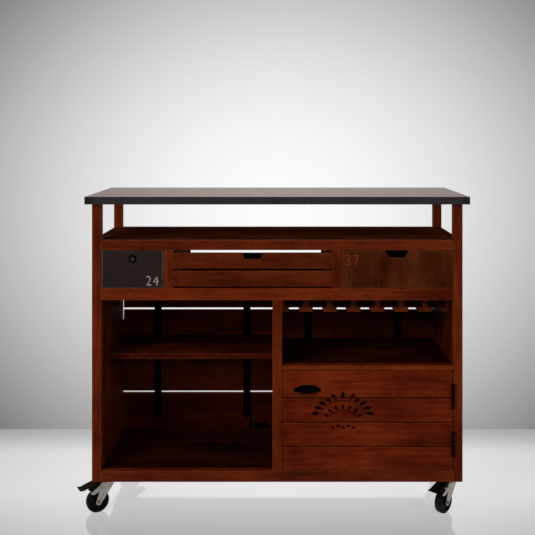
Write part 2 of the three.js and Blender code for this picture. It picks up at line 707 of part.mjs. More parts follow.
function makeFork(group, name) {
  const legY = [FORK_HALF_WIDTH - FORK_SHEET, FORK_HALF_WIDTH];
  const axle = [CASTER_TRAIL, wheelRadius];
  const headY = FORK_HALF_WIDTH + AXLE_HEAD;
  addTo(group, `${name}_fork`, shaped(
    [
      rodZ(FORK_DISC_RADIUS, [0, 0], [forkUnder, forkTop], 32),
      box(
        [-FORK_HALF_LENGTH, FORK_HALF_LENGTH],
        [-FORK_HALF_WIDTH, FORK_HALF_WIDTH],
        [forkUnder, forkTop],
      ),
      prism(legOutline(), legY),
      prism(legOutline(), mirrored(legY, -1)),
      rodY(AXLE_RADIUS, axle, [-headY, headY]),
      rodY(AXLE_HEAD_RADIUS, axle, [legY[1] - 1, headY]),
      rodY(AXLE_HEAD_RADIUS, axle, [-headY, 1 - legY[1]]),
      rodY(PEDAL_PIN_RADIUS, pedalPivot, [-FORK_HALF_WIDTH - 1, FORK_HALF_WIDTH + 1], 16),
    ],
    [rodZ(KINGPIN_RADIUS + RUNNING_CLEARANCE, [0, 0], [forkUnder - 1, forkTop + 1])],
  ), ZINC);
}

function makeWheel(group, name) {
  const bore = AXLE_RADIUS + RUNNING_CLEARANCE;
  const half = WHEEL_WIDTH / 2;
  const hub = WHEEL_HUB_WIDTH / 2;
  const side = [
    [bore, hub],
    [bore + 6, hub],
    [bore + 8, half - 3],
    [wheelRadius - 9, half - 3],
    [wheelRadius - 7, half],
    [wheelRadius - 3.5, half],
    [wheelRadius - 0.8, half - 3],
    [wheelRadius, half - 7],
  ];
  const outline = [...side, ...side.map(([r, y]) => [r, -y]).reverse(), side[0]];
  const points = outline.reverse().map(([r, y]) => new THREE.Vector2(r, y));
  const tyre = toGeometry(toSolid(new THREE.LatheGeometry(points, WHEEL_SIDES)));
  addTo(group, `${name}_wheel`, tyre, BLACK_RUBBER).position.set(CASTER_TRAIL, 0, wheelRadius);
}

// The shoe follows the tread when the pedal is down, and is turned back to where the pedal rests.
function shoeUnderside() {
  const press = THREE.MathUtils.degToRad(PEDAL_PRESS);
  return SHOE_SPAN.map((degrees) => {
    const angle = THREE.MathUtils.degToRad(degrees);
    const reach = wheelRadius + BRAKE_CLEARANCE;
    const x = CASTER_TRAIL + reach * Math.sin(angle) - pedalPivot[0];
    const z = wheelRadius + reach * Math.cos(angle) - pedalPivot[1];
    return [
      pedalPivot[0] + x * Math.cos(press) - z * Math.sin(press),
      pedalPivot[1] + x * Math.sin(press) + z * Math.cos(press),
    ];
  });
}

function makePedal(group, name) {
  const [px, pz] = pedalPivot;
  const top = [[px + 5, pz + 18], [px + 44, pz + 7], [px + 60, pz + 1.5], [px + 71, pz + 3]];
  const under = top.map(([x, z]) => [x - 0.8, z - PEDAL_SHEET]).reverse();
  under[0] = [px + 71.5, pz + 0.6];
  const skirt = [[px + 5, pz + 17], [px + 6.5, pz + 9], [px + 42, pz - 1], [px + 44, pz + 6]];
  const ear = [
    [px - 5, pz - 4.5],
    [px + 4.5, pz - 4.5],
    [px + 24, pz + 5],
    [px + 24, pz + 13],
    [px + 5.5, pz + 16.9],
    [px - 0.5, pz + 7.5],
    [px - 5, pz + 4],
  ];
  const shoe = [...shoeUnderside(), [px + 23.5, pz + 10], [px + 12, pz + 10]];
  const width = PEDAL_HALF_WIDTH;
  const earY = PEDAL_EAR;
  const skirtY = [width - PEDAL_SKIRT, width];
  const parts = [
    prism([...top, ...under], [-width, width]),
    prism(shoe, [-SHOE_HALF_WIDTH, SHOE_HALF_WIDTH]),
    box([px + 13, px + 22], [-earY[1], earY[1]], [pz + 2, pz + 9]),
  ];
  for (const sign of [-1, 1]) {
    parts.push(prism(skirt, mirrored(skirtY, sign)));
    parts.push(prism(ear, mirrored(earY, sign)));
  }
  const bore = rodY(PEDAL_PIN_RADIUS + RUNNING_CLEARANCE, pedalPivot, [-width, width], 16);
  addTo(group, `${name}_brake_pedal`, shaped(parts, [bore]), BLACK_IRON);
}

function makeCasters() {
  for (const [end, endSign] of ENDS) {
    for (const [side, sideSign] of SIDES) {
      const name = `${end}_${side}`;
      const x = sideSign * (halfX - CASTER_INSET_X);
      const y = endSign * (halfY - CASTER_INSET_Y);
      makeCasterPlate(`caster_${name}`, x, y);
      const swivel = new THREE.Group();
      swivel.position.set(x, y, 0);
      swivel.rotation.z = THREE.MathUtils.degToRad(CASTER_YAW[name]);
      cart.add(swivel);
      makeFork(swivel, `caster_${name}`);
      makeWheel(swivel, `caster_${name}`);
      makePedal(swivel, `caster_${name}`);
    }
  }
}

makeCounter();
makeFrame();
makePanels();
makePartitions();
makeShelves();
makeGlassRack();
makeDoor();
makeHinge('upper_hinge', doorTop - HINGE_INSET_TOP);
makeHinge('lower_hinge', doorUnder + HINGE_INSET_BOTTOM);
makeCupPull();
makeMetalDrawer();
makeCrateDrawer();
makePlankDrawer();
makeCasters();

export default cart;
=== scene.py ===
import json
import math
import zlib

import bmesh
import bpy
from mathutils import Matrix, Vector, noise

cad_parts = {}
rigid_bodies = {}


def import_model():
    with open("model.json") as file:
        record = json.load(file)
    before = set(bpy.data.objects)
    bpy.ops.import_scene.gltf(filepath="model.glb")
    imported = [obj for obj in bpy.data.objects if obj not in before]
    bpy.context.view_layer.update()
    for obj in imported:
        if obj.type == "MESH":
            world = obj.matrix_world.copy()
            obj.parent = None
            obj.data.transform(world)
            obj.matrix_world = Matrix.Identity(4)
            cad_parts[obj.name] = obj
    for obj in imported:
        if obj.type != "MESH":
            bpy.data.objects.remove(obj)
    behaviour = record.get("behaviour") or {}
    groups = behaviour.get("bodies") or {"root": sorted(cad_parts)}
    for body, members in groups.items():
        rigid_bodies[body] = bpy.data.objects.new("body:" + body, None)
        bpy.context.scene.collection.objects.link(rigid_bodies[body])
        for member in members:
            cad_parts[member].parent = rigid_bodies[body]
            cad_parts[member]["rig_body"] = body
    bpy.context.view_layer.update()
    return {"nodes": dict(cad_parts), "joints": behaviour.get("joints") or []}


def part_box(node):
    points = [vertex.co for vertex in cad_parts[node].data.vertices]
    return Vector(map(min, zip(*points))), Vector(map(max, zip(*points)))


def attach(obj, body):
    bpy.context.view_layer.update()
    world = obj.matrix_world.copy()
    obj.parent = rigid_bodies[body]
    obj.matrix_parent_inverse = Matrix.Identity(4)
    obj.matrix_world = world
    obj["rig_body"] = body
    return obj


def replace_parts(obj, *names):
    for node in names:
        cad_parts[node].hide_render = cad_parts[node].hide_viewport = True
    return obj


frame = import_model()
NODES = frame["nodes"]
JOINTS = {joint["name"]: joint for joint in frame["joints"]}
CASTERS = ("front_left", "front_right", "rear_left", "rear_right")
X, Y, Z = 0, 1, 2

# Sizes of the frame's solids that their boxes don't tell, in metres.
BACK_CORNER_DROP = 0.038
STILE_DEPTH = 0.03
PANEL_HALF = 0.009
BATTEN_WIDTH = 0.055
BRACE_INSET = 0.01
RACK_RAILS = 6
RACK_BOARD = 0.008
RACK_STEM_WIDTH, RACK_STEM_DROP = 0.018, 0.051
RACK_FLANGE_WIDTH, RACK_FLANGE_DROP = 0.047, 0.016
TRAY_BOTTOM = 0.006
CRATE_BACK_BOARDS = ((0.0, 0.0565), (0.0685, 0.107))
CRATE_SIDE_BOARDS = ((0.0, 0.051), (0.055, 0.106))
CRATE_CORNER = 0.018
DRAWER_SHEET = 0.0015
DRAWER_RECESS = 0.002
WHEEL_RADIUS = 0.0375
CASTER_TRAIL = 0.03
PLATE_THICKNESS = 0.003


# ---- Node materials ----

class Finish:
    """A node material while it is put together."""

    def __init__(self, name):
        self.material = bpy.data.materials.new(name)
        self.material.use_nodes = True
        self.tree = self.material.node_tree
        self.shader = self.tree.nodes["Principled BSDF"]

    def put(self, socket, value):
        if isinstance(value, bpy.types.NodeSocket):
            self.tree.links.new(value, socket)
        else:
            socket.default_value = value

    def add(self, kind, inputs=None, **settings):
        node = self.tree.nodes.new("ShaderNode" + kind)
        for key, value in settings.items():
            setattr(node, key, value)
        for key, value in (inputs or {}).items():
            self.put(node.inputs[key], value)
        return node

    def attribute(self, name, output):
        return self.add("Attribute", attribute_name=name).outputs[output]

    def place(self):
        return self.add("TexCoord").outputs["Object"]

    def scaled(self, vector, scale):
        return self.add("VectorMath", {0: vector, 1: scale}, operation="MULTIPLY").outputs[0]

    def noise(self, vector, scale, detail=2.0, roughness=0.5, distortion=0.0):
        inputs = {"Vector": self.scaled(vector, scale), "Scale": 1.0, "Detail": detail,
                  "Roughness": roughness, "Distortion": distortion}
        return self.add("TexNoise", inputs).outputs["Fac"]

    def math(self, operation, a, b=0.0, clamp=False):
        return self.add("Math", {0: a, 1: b}, operation=operation, use_clamp=clamp).outputs[0]

    def weighted(self, *terms):
        """The sum of values, each times its weight."""
        total = None
        for value, weight in terms:
            part = self.math("MULTIPLY", value, weight)
            total = part if total is None else self.math("ADD", total, part)
        return total

    def span(self, value, low, high, to_low=0.0, to_high=1.0):
        inputs = {"Value": value, "From Min": low, "From Max": high, "To Min": to_low, "To Max": to_high}
        return self.add("MapRange", inputs, interpolation_type="SMOOTHSTEP").outputs["Result"]

    def mix(self, share, a, b):
        return self.add("Mix", {0: share, 6: a, 7: b}, data_type="RGBA").outputs[2]

    def ramp(self, value, stops):
        node = self.add("ValToRGB", {"Fac": value})
        points = node.color_ramp.elements
        while len(points) < len(stops):
            points.new(0.5)
        for point, (at, colour) in zip(points, stops):
            point.position = at
            point.color = colour
        return node.outputs["Color"]

    def bump(self, height, strength, distance):
        sockets = {"Height": height, "Strength": strength, "Distance": distance}
        return self.add("Bump", sockets).outputs["Normal"]

    def finish(self, **sockets):
        for key, value in sockets.items():
            self.put(self.shader.inputs[key.replace("_", " ")], value)
        return self.material


def rgb(red, green, blue):
    """A colour given as it looks on screen, in steps of 0 to 255."""
    return tuple((c / 255) ** 2.2 for c in (red, green, blue)) + (1.0,)


def wood(name, dark, middle, light, raw, gloss=0.55, worn=0.5, figure=1.0, sheen=0.05):
    """Stained and waxed timber. The grain attribute holds metres along and across each board."""
    f = Finish(name)
    grain = f.attribute("grain", "Vector")
    edge = f.attribute("wear", "Fac")
    axes = f.add("SeparateXYZ", {0: grain}).outputs
    wander = f.noise(grain, (1.7, 6, 6), 2.0)
    heart = f.math("SQRT", f.weighted((axes[1], axes[1]), (axes[2], axes[2])))
    turns = f.weighted((heart, 300), (wander, 34))
    rings = f.span(f.math("SINE", turns), -1.0, 1.0)
    fibres = f.noise(grain, (7, 330, 330), 4.0, 0.65)
    pores = f.noise(grain, (38, 1300, 1300), 1.0)
    cloud = f.noise(grain, (4.5, 13, 13), 3.0, 0.6)
    flame = f.noise(grain, (30, 5, 5), 2.0)
    tone = f.noise(grain, (1.1, 0.4, 0.4), 1.0)
    scuffs = f.noise(grain, (60, 95, 95), 3.0, 0.7)

    shade = f.weighted((rings, 0.035 * figure), (fibres, 0.34), (cloud, 0.62), (tone, 0.26),
                       (flame, 0.12))
    colour = f.ramp(shade, [(0.46, dark), (0.67, middle), (0.92, light)])
    open_pores = f.span(pores, 0.62, 0.72)
    colour = f.mix(f.math("MULTIPLY", open_pores, 0.45), colour, dark)
    stain = f.span(f.noise(grain, (9, 26, 26), 2.0, 0.7), 0.62, 0.76, 0.0, 0.5)
    colour = f.mix(stain, colour, dark)
    rubbed = f.span(f.weighted((edge, 0.42), (scuffs, 1)), 0.74, 0.98, 0.0, worn)
    colour = f.mix(rubbed, colour, raw)

    rough = f.math("ADD", f.span(cloud, 0.2, 0.8, gloss - 0.08, gloss + 0.1),
                   f.math("MULTIPLY", fibres, 0.12))
    rough = f.math("ADD", rough, f.math("MULTIPLY", rubbed, 0.25), clamp=True)
    height = f.weighted((fibres, 0.7), (open_pores, -1), (scuffs, 0.25))
    return f.finish(Base_Color=colour, Roughness=rough, Normal=f.bump(height, 0.35, 0.0006),
                    Specular_IOR_Level=sheen)


def metal(name, base, patch, bare, rough, metallic, brush=(12, 12, 12), patches=0.5, dents=0.2,
          scale=1.0, tint=(1, 1, 1, 1), sheen=0.5, uneven=0.11):
    """Sheet or cast metal with patchy tone, fine brushing, smudges and bare edges."""
    f = Finish(name)
    place = f.place()
    edge = f.attribute("wear", "Fac")
    cloud = f.noise(place, tuple(c * scale for c in (9, 9, 9)), 4.0, 0.65)
    lines = f.noise(place, tuple(c * scale for c in brush), 3.0, 0.6)
    specks = f.noise(place, (420, 420, 420), 2.0, 0.6)
    smudge = f.noise(place, tuple(c * scale for c in (26, 26, 26)), 3.0, 0.7, 0.4)
    colour = f.mix(f.span(cloud, 0.35, 0.7, 0.0, patches), base, patch)
    colour = f.mix(f.span(lines, 0.35, 0.75, 0.0, 0.35), colour, patch)
    worn = f.span(f.weighted((edge, 0.45), (smudge, 1)), 0.72, 0.95, 0.0, 0.85)
    colour = f.mix(worn, colour, bare)
    roughness = f.math("ADD", f.span(smudge, 0.3, 0.75, rough - uneven, rough + uneven),
                       f.math("MULTIPLY", lines, 0.1), clamp=True)
    height = f.weighted((lines, 0.5), (specks, 0.3), (cloud, 4 * dents))
    return f.finish(Base_Color=colour, Roughness=roughness, Metallic=metallic, Specular_Tint=tint,
                    Specular_IOR_Level=sheen, Normal=f.bump(height, 0.3, 0.0005))


def rubber(name):
    """Black moulded rubber, dusty where it rolls."""
    f = Finish(name)
    place = f.place()
    fine = f.noise(place, (900, 900, 900), 2.0)
    dust = f.noise(place, (55, 55, 55), 4.0, 0.7)
    tread = f.attribute("wear", "Fac")
    share = f.span(f.weighted((dust, 1), (tread, 0.2)), 0.5, 0.85, 0.0, 0.5)
    colour = f.mix(share, rgb(9, 8, 8), rgb(52, 47, 42))
    return f.finish(Base_Color=colour, Roughness=f.span(dust, 0.3, 0.7, 0.45, 0.7),
                    Normal=f.bump(f.math("ADD", fine, dust), 0.25, 0.0004),
                    Specular_IOR_Level=0.12)


def paint(name, ink, ground, cover, sheen=0.05):
    """Stencilled paint that has worn through to the ground under it."""
    f = Finish(name)
    place = f.place()
    chips = f.noise(place, (230, 230, 230), 3.0, 0.7)
    streaks = f.noise(place, (60, 60, 420), 2.0, 0.6)
    left = f.span(f.weighted((chips, 1), (streaks, 0.5)), cover, cover + 0.16)
    return f.finish(Base_Color=f.mix(left, ink, ground), Roughness=f.span(chips, 0.2, 0.8, 0.5, 0.75),
                    Normal=f.bump(chips, 0.2, 0.0003), Specular_IOR_Level=sheen)


RAW = rgb(124, 64, 30)
FRAME_WOOD = wood("frame_wood", rgb(44, 14, 6), rgb(84, 33, 15), rgb(114, 50, 23), RAW, worn=0.3)
DOOR_WOOD = wood("door_wood", rgb(40, 12, 5), rgb(85, 30, 13), rgb(121, 50, 23), RAW, worn=0.3)
CRATE_WOOD = wood("crate_wood", rgb(37, 13, 6), rgb(74, 30, 14), rgb(104, 47, 23), RAW, worn=0.3)
# side wood: a darker copy of the frame wood, painted shade for the inner faces of the side panels
SIDE_WOOD = wood("side_wood", rgb(28, 10, 4), rgb(58, 22, 8), rgb(84, 36, 14), RAW, worn=0.3,
                 sheen=0.02)
# panel wood: partly a dark stain and partly painted shade, darker than the frame wood for the panels deep
# inside the cart, under the counter, shelves and deck
PANEL_WOOD_STAINED_AND_SHADED = wood("panel_wood", rgb(14, 4, 1), rgb(34, 10, 3), rgb(54, 19, 7), rgb(70, 32, 16),
                  gloss=0.6, worn=0.25, sheen=0.01)
BACK_WOOD = wood("back_wood", rgb(36, 14, 7), rgb(70, 28, 13), rgb(98, 46, 22), rgb(106, 54, 28),
                 gloss=0.6, worn=0.25, sheen=0.01)
# shelf wood: partly a darker stain and partly painted shade on the shelf tops and cart floor, which lie in
# shade under the counter and shelves
SHELF_WOOD_STAINED_AND_SHADED = wood("shelf_wood_stained_and_shaded", rgb(16, 7, 4), rgb(39, 17, 8), rgb(61, 27, 13), rgb(84, 40, 20),
                  gloss=0.6, worn=0.35, sheen=0.02)
TIER_WOOD = wood("tier_wood", rgb(38, 18, 9), rgb(68, 34, 17), rgb(96, 52, 28), rgb(112, 66, 38),
                 gloss=0.7, worn=0.35, sheen=0.0)
DRAWER_WOOD = wood("drawer_wood", rgb(32, 14, 6), rgb(67, 32, 15), rgb(98, 52, 26),
                   rgb(120, 66, 36), gloss=0.55, worn=0.35, figure=0.4)
COUNTER_METAL = metal("counter_metal", rgb(66, 62, 63), rgb(56, 53, 54), rgb(82, 78, 77),
                      0.24, 0.8, (6, 420, 420), 0.3, 0.01, tint=rgb(250, 224, 212), uneven=0.02)
BLACK_IRON = metal("black_iron", rgb(8, 6, 5), rgb(6, 4, 3), rgb(24, 18, 15), 0.55, 0.0,
                   (60, 60, 60), 0.5, 0.3, 2.0, sheen=0.06)
# strap iron: a slightly darker, duller copy of the black iron, painted shade for the straps, rod and cleat
# inside the bays
STRAP_IRON = metal("strap_iron", rgb(8, 5, 4), rgb(5, 3, 3), rgb(20, 12, 9), 0.6, 0.0,
                   (60, 60, 60), 0.5, 0.3, 2.0, sheen=0.02)
DRAWER_STEEL = metal("drawer_steel", rgb(50, 42, 39), rgb(38, 31, 29), rgb(74, 64, 58), 0.46,
                     0.4, (260, 260, 14), 0.6, 0.3, sheen=0.25)
# hem steel: a lighter copy of the drawer steel; on the drawer's hems it is a painted highlight along the
# folded edges, on the lock it is the bright sleeve
HEM_STEEL = metal("hem_steel", rgb(70, 58, 52), rgb(46, 38, 34), rgb(110, 96, 86), 0.42,
                  0.5, (260, 260, 14), 0.6, 0.3, sheen=0.3)
LOCK_METAL = metal("lock_metal", rgb(150, 140, 126), rgb(96, 86, 74), rgb(198, 188, 172), 0.32, 0.9,
                   (300, 300, 300), 0.4, 0.1, 3.0)
CASTER_ZINC = metal("caster_zinc", rgb(146, 135, 125), rgb(88, 78, 70), rgb(196, 187, 177), 0.3,
                    0.9, (160, 160, 160), 0.5, 0.2, 3.0)
WHEEL_RUBBER = rubber("wheel_rubber")
STEEL_PAINT = paint("steel_numerals", rgb(160, 151, 142), rgb(36, 29, 26), 0.72, 0.2)
WOOD_PAINT = paint("wood_numerals", rgb(120, 46, 26), rgb(60, 23, 10), 0.75)
DOOR_INK = paint("door_ink", rgb(22, 7, 4), rgb(70, 22, 6), 0.84, 0.0)


# ---- Mesh helpers ----

def linked(name, data):
    """A new object for some data, in the scene."""
    made = bpy.data.objects.new(name, data)
    bpy.context.scene.collection.objects.link(made)
    return made


def write_grain(mesh, name, along, wear):
    """Board coordinates for the wood finish: along, across and through, each board its own."""
    across = [axis for axis in (X, Y, Z) if axis != along]
    code = zlib.crc32(name.encode())
    shift = ((code % 997) / 60, (code // 997 % 101) / 800 - 0.06, 0.03 + code // 7 % 89 / 900)
    places = [vertex.co for vertex in mesh.vertices]
    middle = [sum(p[a] for p in places) / len(places) for a in across]
    values = []
    for p in places:
        values.append(p[along] + shift[0])
        values += [p[a] + s - m for a, s, m in zip(across, shift[1:], middle)]
    grain = mesh.attributes.new("grain", "FLOAT_VECTOR", "POINT")
    grain.data.foreach_set("vector", values)
    worn = mesh.attributes.new("wear", "FLOAT", "POINT")
    worn.data.foreach_set("value", wear or [0.0] * len(places))


def make_piece(name, points, faces, material, body, along=X, wear=None, sharp=40):
    mesh = bpy.data.meshes.new(name)
    mesh.from_pydata([tuple(p) for p in points], [], faces)
    mesh.polygons.foreach_set("use_smooth", [True] * len(mesh.polygons))
    mesh.set_sharp_from_angle(angle=math.radians(sharp))
    write_grain(mesh, name, along, wear)
    mesh.materials.append(material)
    piece = linked(name, mesh)
    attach(piece, body)
    return piece


def face_out(piece):
    """Joins the points that coincide and turns every face outwards."""
    solid = bmesh.new()
    solid.from_mesh(piece.data)
    bmesh.ops.remove_doubles(solid, verts=solid.verts, dist=1e-7)
    bmesh.ops.recalc_face_normals(solid, faces=solid.faces)
    solid.to_mesh(piece.data)
    solid.free()
    return piece


def body_of(node):
    """The body that a CAD node moves with."""
    return NODES[node]["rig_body"]


WEAR_MARGIN = 0.004   # how far from an edge the wear fades out
HALFWAY = 0.586       # where the middle loop of an eased edge lies, as a share of its width


def stations(low, high, edge, step):
    """Places of the loops along one side of a board: close at its ends, even between them."""
    length = high - low
    edge = min(edge, length * 0.3)
    near = [0.0, HALFWAY * edge, edge]
    if length > 3 * (edge + WEAR_MARGIN):
        near.append(edge + WEAR_MARGIN)
    start, end = low + near[-1], high - near[-1]
    count = max(1, math.ceil((end - start) / step))
    between = [start + (end - start) * i / count for i in range(1, count)]
    return [low + n for n in near] + between + [high - n for n in reversed(near)]


def clamp(value, low, high):
    return max(low, min(high, value))


def board(name, low, high, along, material, body, slot, edge=0.0015, replaces=(), top=None, marks=(),
          warp=None, step=0.08):
    """A board with eased, slightly uneven edges. top(x) lowers its upper edge, marks are loops."""
    low, high = Vector(low), Vector(high)
    axes = [stations(low[i], high[i], edge, step) for i in range(3)]
    if marks:
        kept = [x for x in axes[X] if all(abs(x - m) > 0.0012 for m in marks)]
        axes[X] = sorted(kept + list(marks))
    counts = [len(a) for a in axes]
    index, points, wear = {}, [], []
    for i, x in enumerate(axes[X]):
        for j, y in enumerate(axes[Y]):
            for k, z in enumerate(axes[Z]):
                if all(0 < n < c - 1 for n, c in zip((i, j, k), counts)):
                    continue
                p = Vector((x, y, z))
                ease = min(edge, min(high - low) * 0.3) * (0.8 + 0.4 * noise.noise(p * 25))
                core = Vector([clamp(p[a], low[a] + ease, high[a] - ease) for a in range(3)])
                out = p - core
                near = sum(min(p[a] - low[a], high[a] - p[a]) < edge * 1.01 for a in range(3))
                if near > 1 and out.length > 1e-7:
                    p = core + out.normalized() * ease
                if top:
                    share = (z - low.z - 2 * edge) / (high.z - low.z - 4 * edge)
                    p.z += top(x) * clamp(share, 0.0, 1.0)
                if warp:
                    p = warp(p)
                index[i, j, k] = len(points)
                points.append(p)
                wear.append(1.0 if near > 1 else 0.0)
    faces = []
    for a in range(3):
        b, c = (a + 1) % 3, (a + 2) % 3
        for end in (0, counts[a] - 1):
            for u in range(counts[b] - 1):
                for v in range(counts[c] - 1):
                    corners = []
                    for du, dv in ((0, 0), (1, 0), (1, 1), (0, 1)):
                        key = [0, 0, 0]
                        key[a], key[b], key[c] = end, u + du, v + dv
                        corners.append(index[tuple(key)])
                    faces.append(corners if end else corners[::-1])
    piece = make_piece(name, points, faces, material, body, along, wear)
    if replaces:
        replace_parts(piece, *replaces)


def node_board(node, along, material, slot, **options):
    """One board in the box of a CAD node."""
    low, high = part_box(node)
    board(node + "_board", low, high, along, material, body_of(node), slot, replaces=(node,),
          **options)


def planks(node, along, split, count, material, slot, edge=0.0018, **options):
    """Several boards side by side that stand for one CAD panel."""
    low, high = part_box(node)
    for i in range(count):
        lo, hi = low.copy(), high.copy()
        width = (high[split] - low[split]) / count
        lo[split] = low[split] + i * width
        hi[split] = lo[split] + width
        board(f"{node}_{i + 1}", lo, hi, along, material, body_of(node), slot, edge, (node,),
              **options)


def panel(name, low, high, along, material, node=None, edge=0.001, **options):
    """A board of the cabinet."""
    board(name, low, high, along, material, "cabinet", "panel_wood", edge, (node,) if node else (),
          **options)


def basis(axis):
    """Two directions square to an axis."""
    axis = Vector(axis).normalized()
    side = axis.cross((0, 0, 1)) if abs(axis.z) < 0.9 else axis.cross((1, 0, 0))
    side.normalize()
    return side, axis.cross(side)


def lathe_mesh(profile, centre, axis, sides):
    """Points and faces of a turned shape. The profile is a closed list of (radius, along)."""
    axis = Vector(axis).normalized()
    side, up = basis(axis)
    points, faces = [], []
    for s in range(sides):
        angle = 2 * math.pi * s / sides
        spoke = side * math.cos(angle) + up * math.sin(angle)
        points += [Vector(centre) + spoke * r + axis * h for r, h in profile]
    n = len(profile)
    for s in range(sides):
        t = (s + 1) % sides
        for i in range(n):
            j = (i + 1) % n
            faces.append([s * n + i, s * n + j, t * n + j, t * n + i])
    return points, faces


def turned(name, profile, centre, axis, material, body, sides=40, wear=None, sharp=35):
    points, faces = lathe_mesh(profile, centre, axis, sides)
    marks = [wear(r, h) for r, h in profile] * sides if wear else None
    piece = make_piece(name, points, faces, material, body, wear=marks, sharp=sharp)
    return face_out(piece)


def dome_profile(radius, height):
    sunk, rim = 0.0004, height * 0.35
    arc = [(radius * math.cos(a), rim + (height - rim) * math.sin(a))
           for a in (math.pi / 2 * i / 5 for i in range(6))]
    return [(1e-5, -sunk), (radius, -sunk)] + arc[:-1] + [(1e-5, height)]


def domes(name, places, axis, radius, height, material, body, sides=14):
    """Several round heads of nails, rivets or screws as one piece."""
    points, faces = [], []
    for place in places:
        more, quads = lathe_mesh(dome_profile(radius, height), place, axis, sides)
        faces += [[i + len(points) for i in quad] for quad in quads]
        points += more
    face_out(make_piece(name, points, faces, material, body, sharp=50))


def softened(node, material, width=0.0005, angle=32):
    """A finer piece in the exact shape of a CAD node, with its sharp edges rounded over."""
    solid = bmesh.new()
    solid.from_mesh(NODES[node].data)
    bmesh.ops.remove_doubles(solid, verts=solid.verts, dist=1e-6)
    bmesh.ops.dissolve_limit(solid, angle_limit=math.radians(1.0), verts=solid.verts,
                             edges=solid.edges, delimit=set())
    sharp = [e for e in solid.edges if e.is_manifold and e.calc_face_angle(0.0) > math.radians(angle)]
    made = bmesh.ops.bevel(solid, geom=sharp, offset=width, offset_type="OFFSET", segments=2,
                           profile=0.5, affect="EDGES", clamp_overlap=True)
    solid.verts.index_update()
    rounded = {v.index for face in made["faces"] if face.is_valid for v in face.verts}
    points = [v.co.copy() for v in solid.verts]
    faces = [[v.index for v in face.verts] for face in solid.faces]
    solid.free()
    wear = [1.0 if i in rounded else 0.0 for i in range(len(points))]
    piece = make_piece(node + "_finish", points, faces, material, body_of(node), X, wear, 34)
    flat = piece.modifiers.new("flat_faces", "WEIGHTED_NORMAL")
    flat.keep_sharp = True
    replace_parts(piece, node)


# ---- Counter ----

def make_counter():
    softened("counter_top_cladding", COUNTER_METAL, 0.0014)
    node_board("counter_top_core", X, PANEL_WOOD_STAINED_AND_SHADED, "panel_wood")
    low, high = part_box("counter_top_cladding")
    tab, proud = 0.026, 0.0005
    for side, x0, x1 in (("left", low.x, low.x + tab), ("right", high.x - tab, high.x)):
        for end, y0, y1 in (("front", low.y - proud, low.y), ("rear", high.y, high.y + proud)):
            board(f"counter_tab_{end}_{side}", (x0 + 0.0012, y0, low.z + 0.0015),
                  (x1, y1, high.z - 0.0016), X, COUNTER_METAL, "cabinet", "counter_metal", 0.0003)


# ---- Frame and panels ----

def make_frame():
    for name in CASTERS:
        node_board("post_" + name, Z, FRAME_WOOD, "frame_wood", edge=0.0018)
    for node in ("front_upper_rail", "front_middle_rail", "front_bottom_rail", "rear_upper_rail"):
        node_board(node, X, FRAME_WOOD, "frame_wood")
    for side in ("left", "right"):
        planks(f"{side}_side_panel", Z, Y, 3, SIDE_WOOD, "panel_wood", step=0.1)
        node_board(f"caster_bearer_{side}", Y, PANEL_WOOD_STAINED_AND_SHADED, "panel_wood")
    planks("floor_panel", X, Y, 3, SHELF_WOOD_STAINED_AND_SHADED, "panel_wood", edge=0.001)
    planks("drawer_deck", X, Y, 3, PANEL_WOOD_STAINED_AND_SHADED, "panel_wood", edge=0.001)

    low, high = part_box("tier_shelf")
    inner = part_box("front_upper_rail")
    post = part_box("post_front_left")[1].y
    ys = [inner[1].y, -0.062, 0.054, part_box("rear_upper_rail")[0].y]
    for i in range(3):
        panel(f"tier_shelf_plank_{i + 1}", (inner[0].x, ys[i], low.z), (inner[1].x, ys[i + 1], high.z),
              X, TIER_WOOD, "tier_shelf")
    for side, x0, x1 in (("left", low.x, inner[0].x), ("right", inner[1].x, high.x)):
        panel(f"tier_shelf_end_{side}", (x0, post, low.z), (x1, -post, high.z), Y, TIER_WOOD,
              "tier_shelf")


def make_back():
    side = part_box("right_side_panel")[0].x
    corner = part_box("back_board_upper")[0].x
    lower, middle, upper = (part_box(f"back_board_{n}") for n in ("lower", "middle", "upper"))

    def back(name, x0, low, high, material=BACK_WOOD, **options):
        node = "back_board_" + name
        panel(node + "_plank", (x0, low.y, low.z), (side, high.y, high.z), X, material, node,
              edge=0.0012, **options)

    back("lower", -side, *lower, SIDE_WOOD)
    back("upper", corner, *upper)
    step = 0.0005
    back("middle", -side, *middle, top=lambda x: -BACK_CORNER_DROP if x < corner - step / 2 else 0.0,
         marks=(corner - step, corner + step))

    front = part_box("back_board_middle")[0].y
    under, over = 0.199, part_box("drawer_deck")[0].z
    half, face = 0.013, front - 0.003
    heads = []
    for i, x in enumerate((-0.446, -0.115, 0.115, 0.446)):
        board(f"back_strap_{i + 1}", (x - half, face, under), (x + half, front, over), Z, STRAP_IRON,
              "cabinet", "black_iron", 0.0006)
        heads += [(x, face, z) for z in (0.215, 0.262, 0.305, 0.42, 0.565, 0.612, 0.7)]
    domes("back_strap_screws", heads, (0, -1, 0), 0.0042, 0.002, STRAP_IRON, "cabinet")

    # a hanging rod and a cleat low on the back of the left bay
    rod = [(1e-5, 0.0), (0.0042, 0.001), (0.005, 0.005), (0.004, 0.009), (0.0018, 0.012),
           (0.0018, 0.05), (1e-5, 0.05)]
    turned("back_rod", rod, (-0.101, front - 0.0048, 0.157), (0, 0, 1), STRAP_IRON, "cabinet",
           16)
    board("back_cleat", (-0.089, front - 0.012, 0.16), (-0.039, front, 0.177), X, STRAP_IRON, "cabinet",
          "black_iron", 0.001)


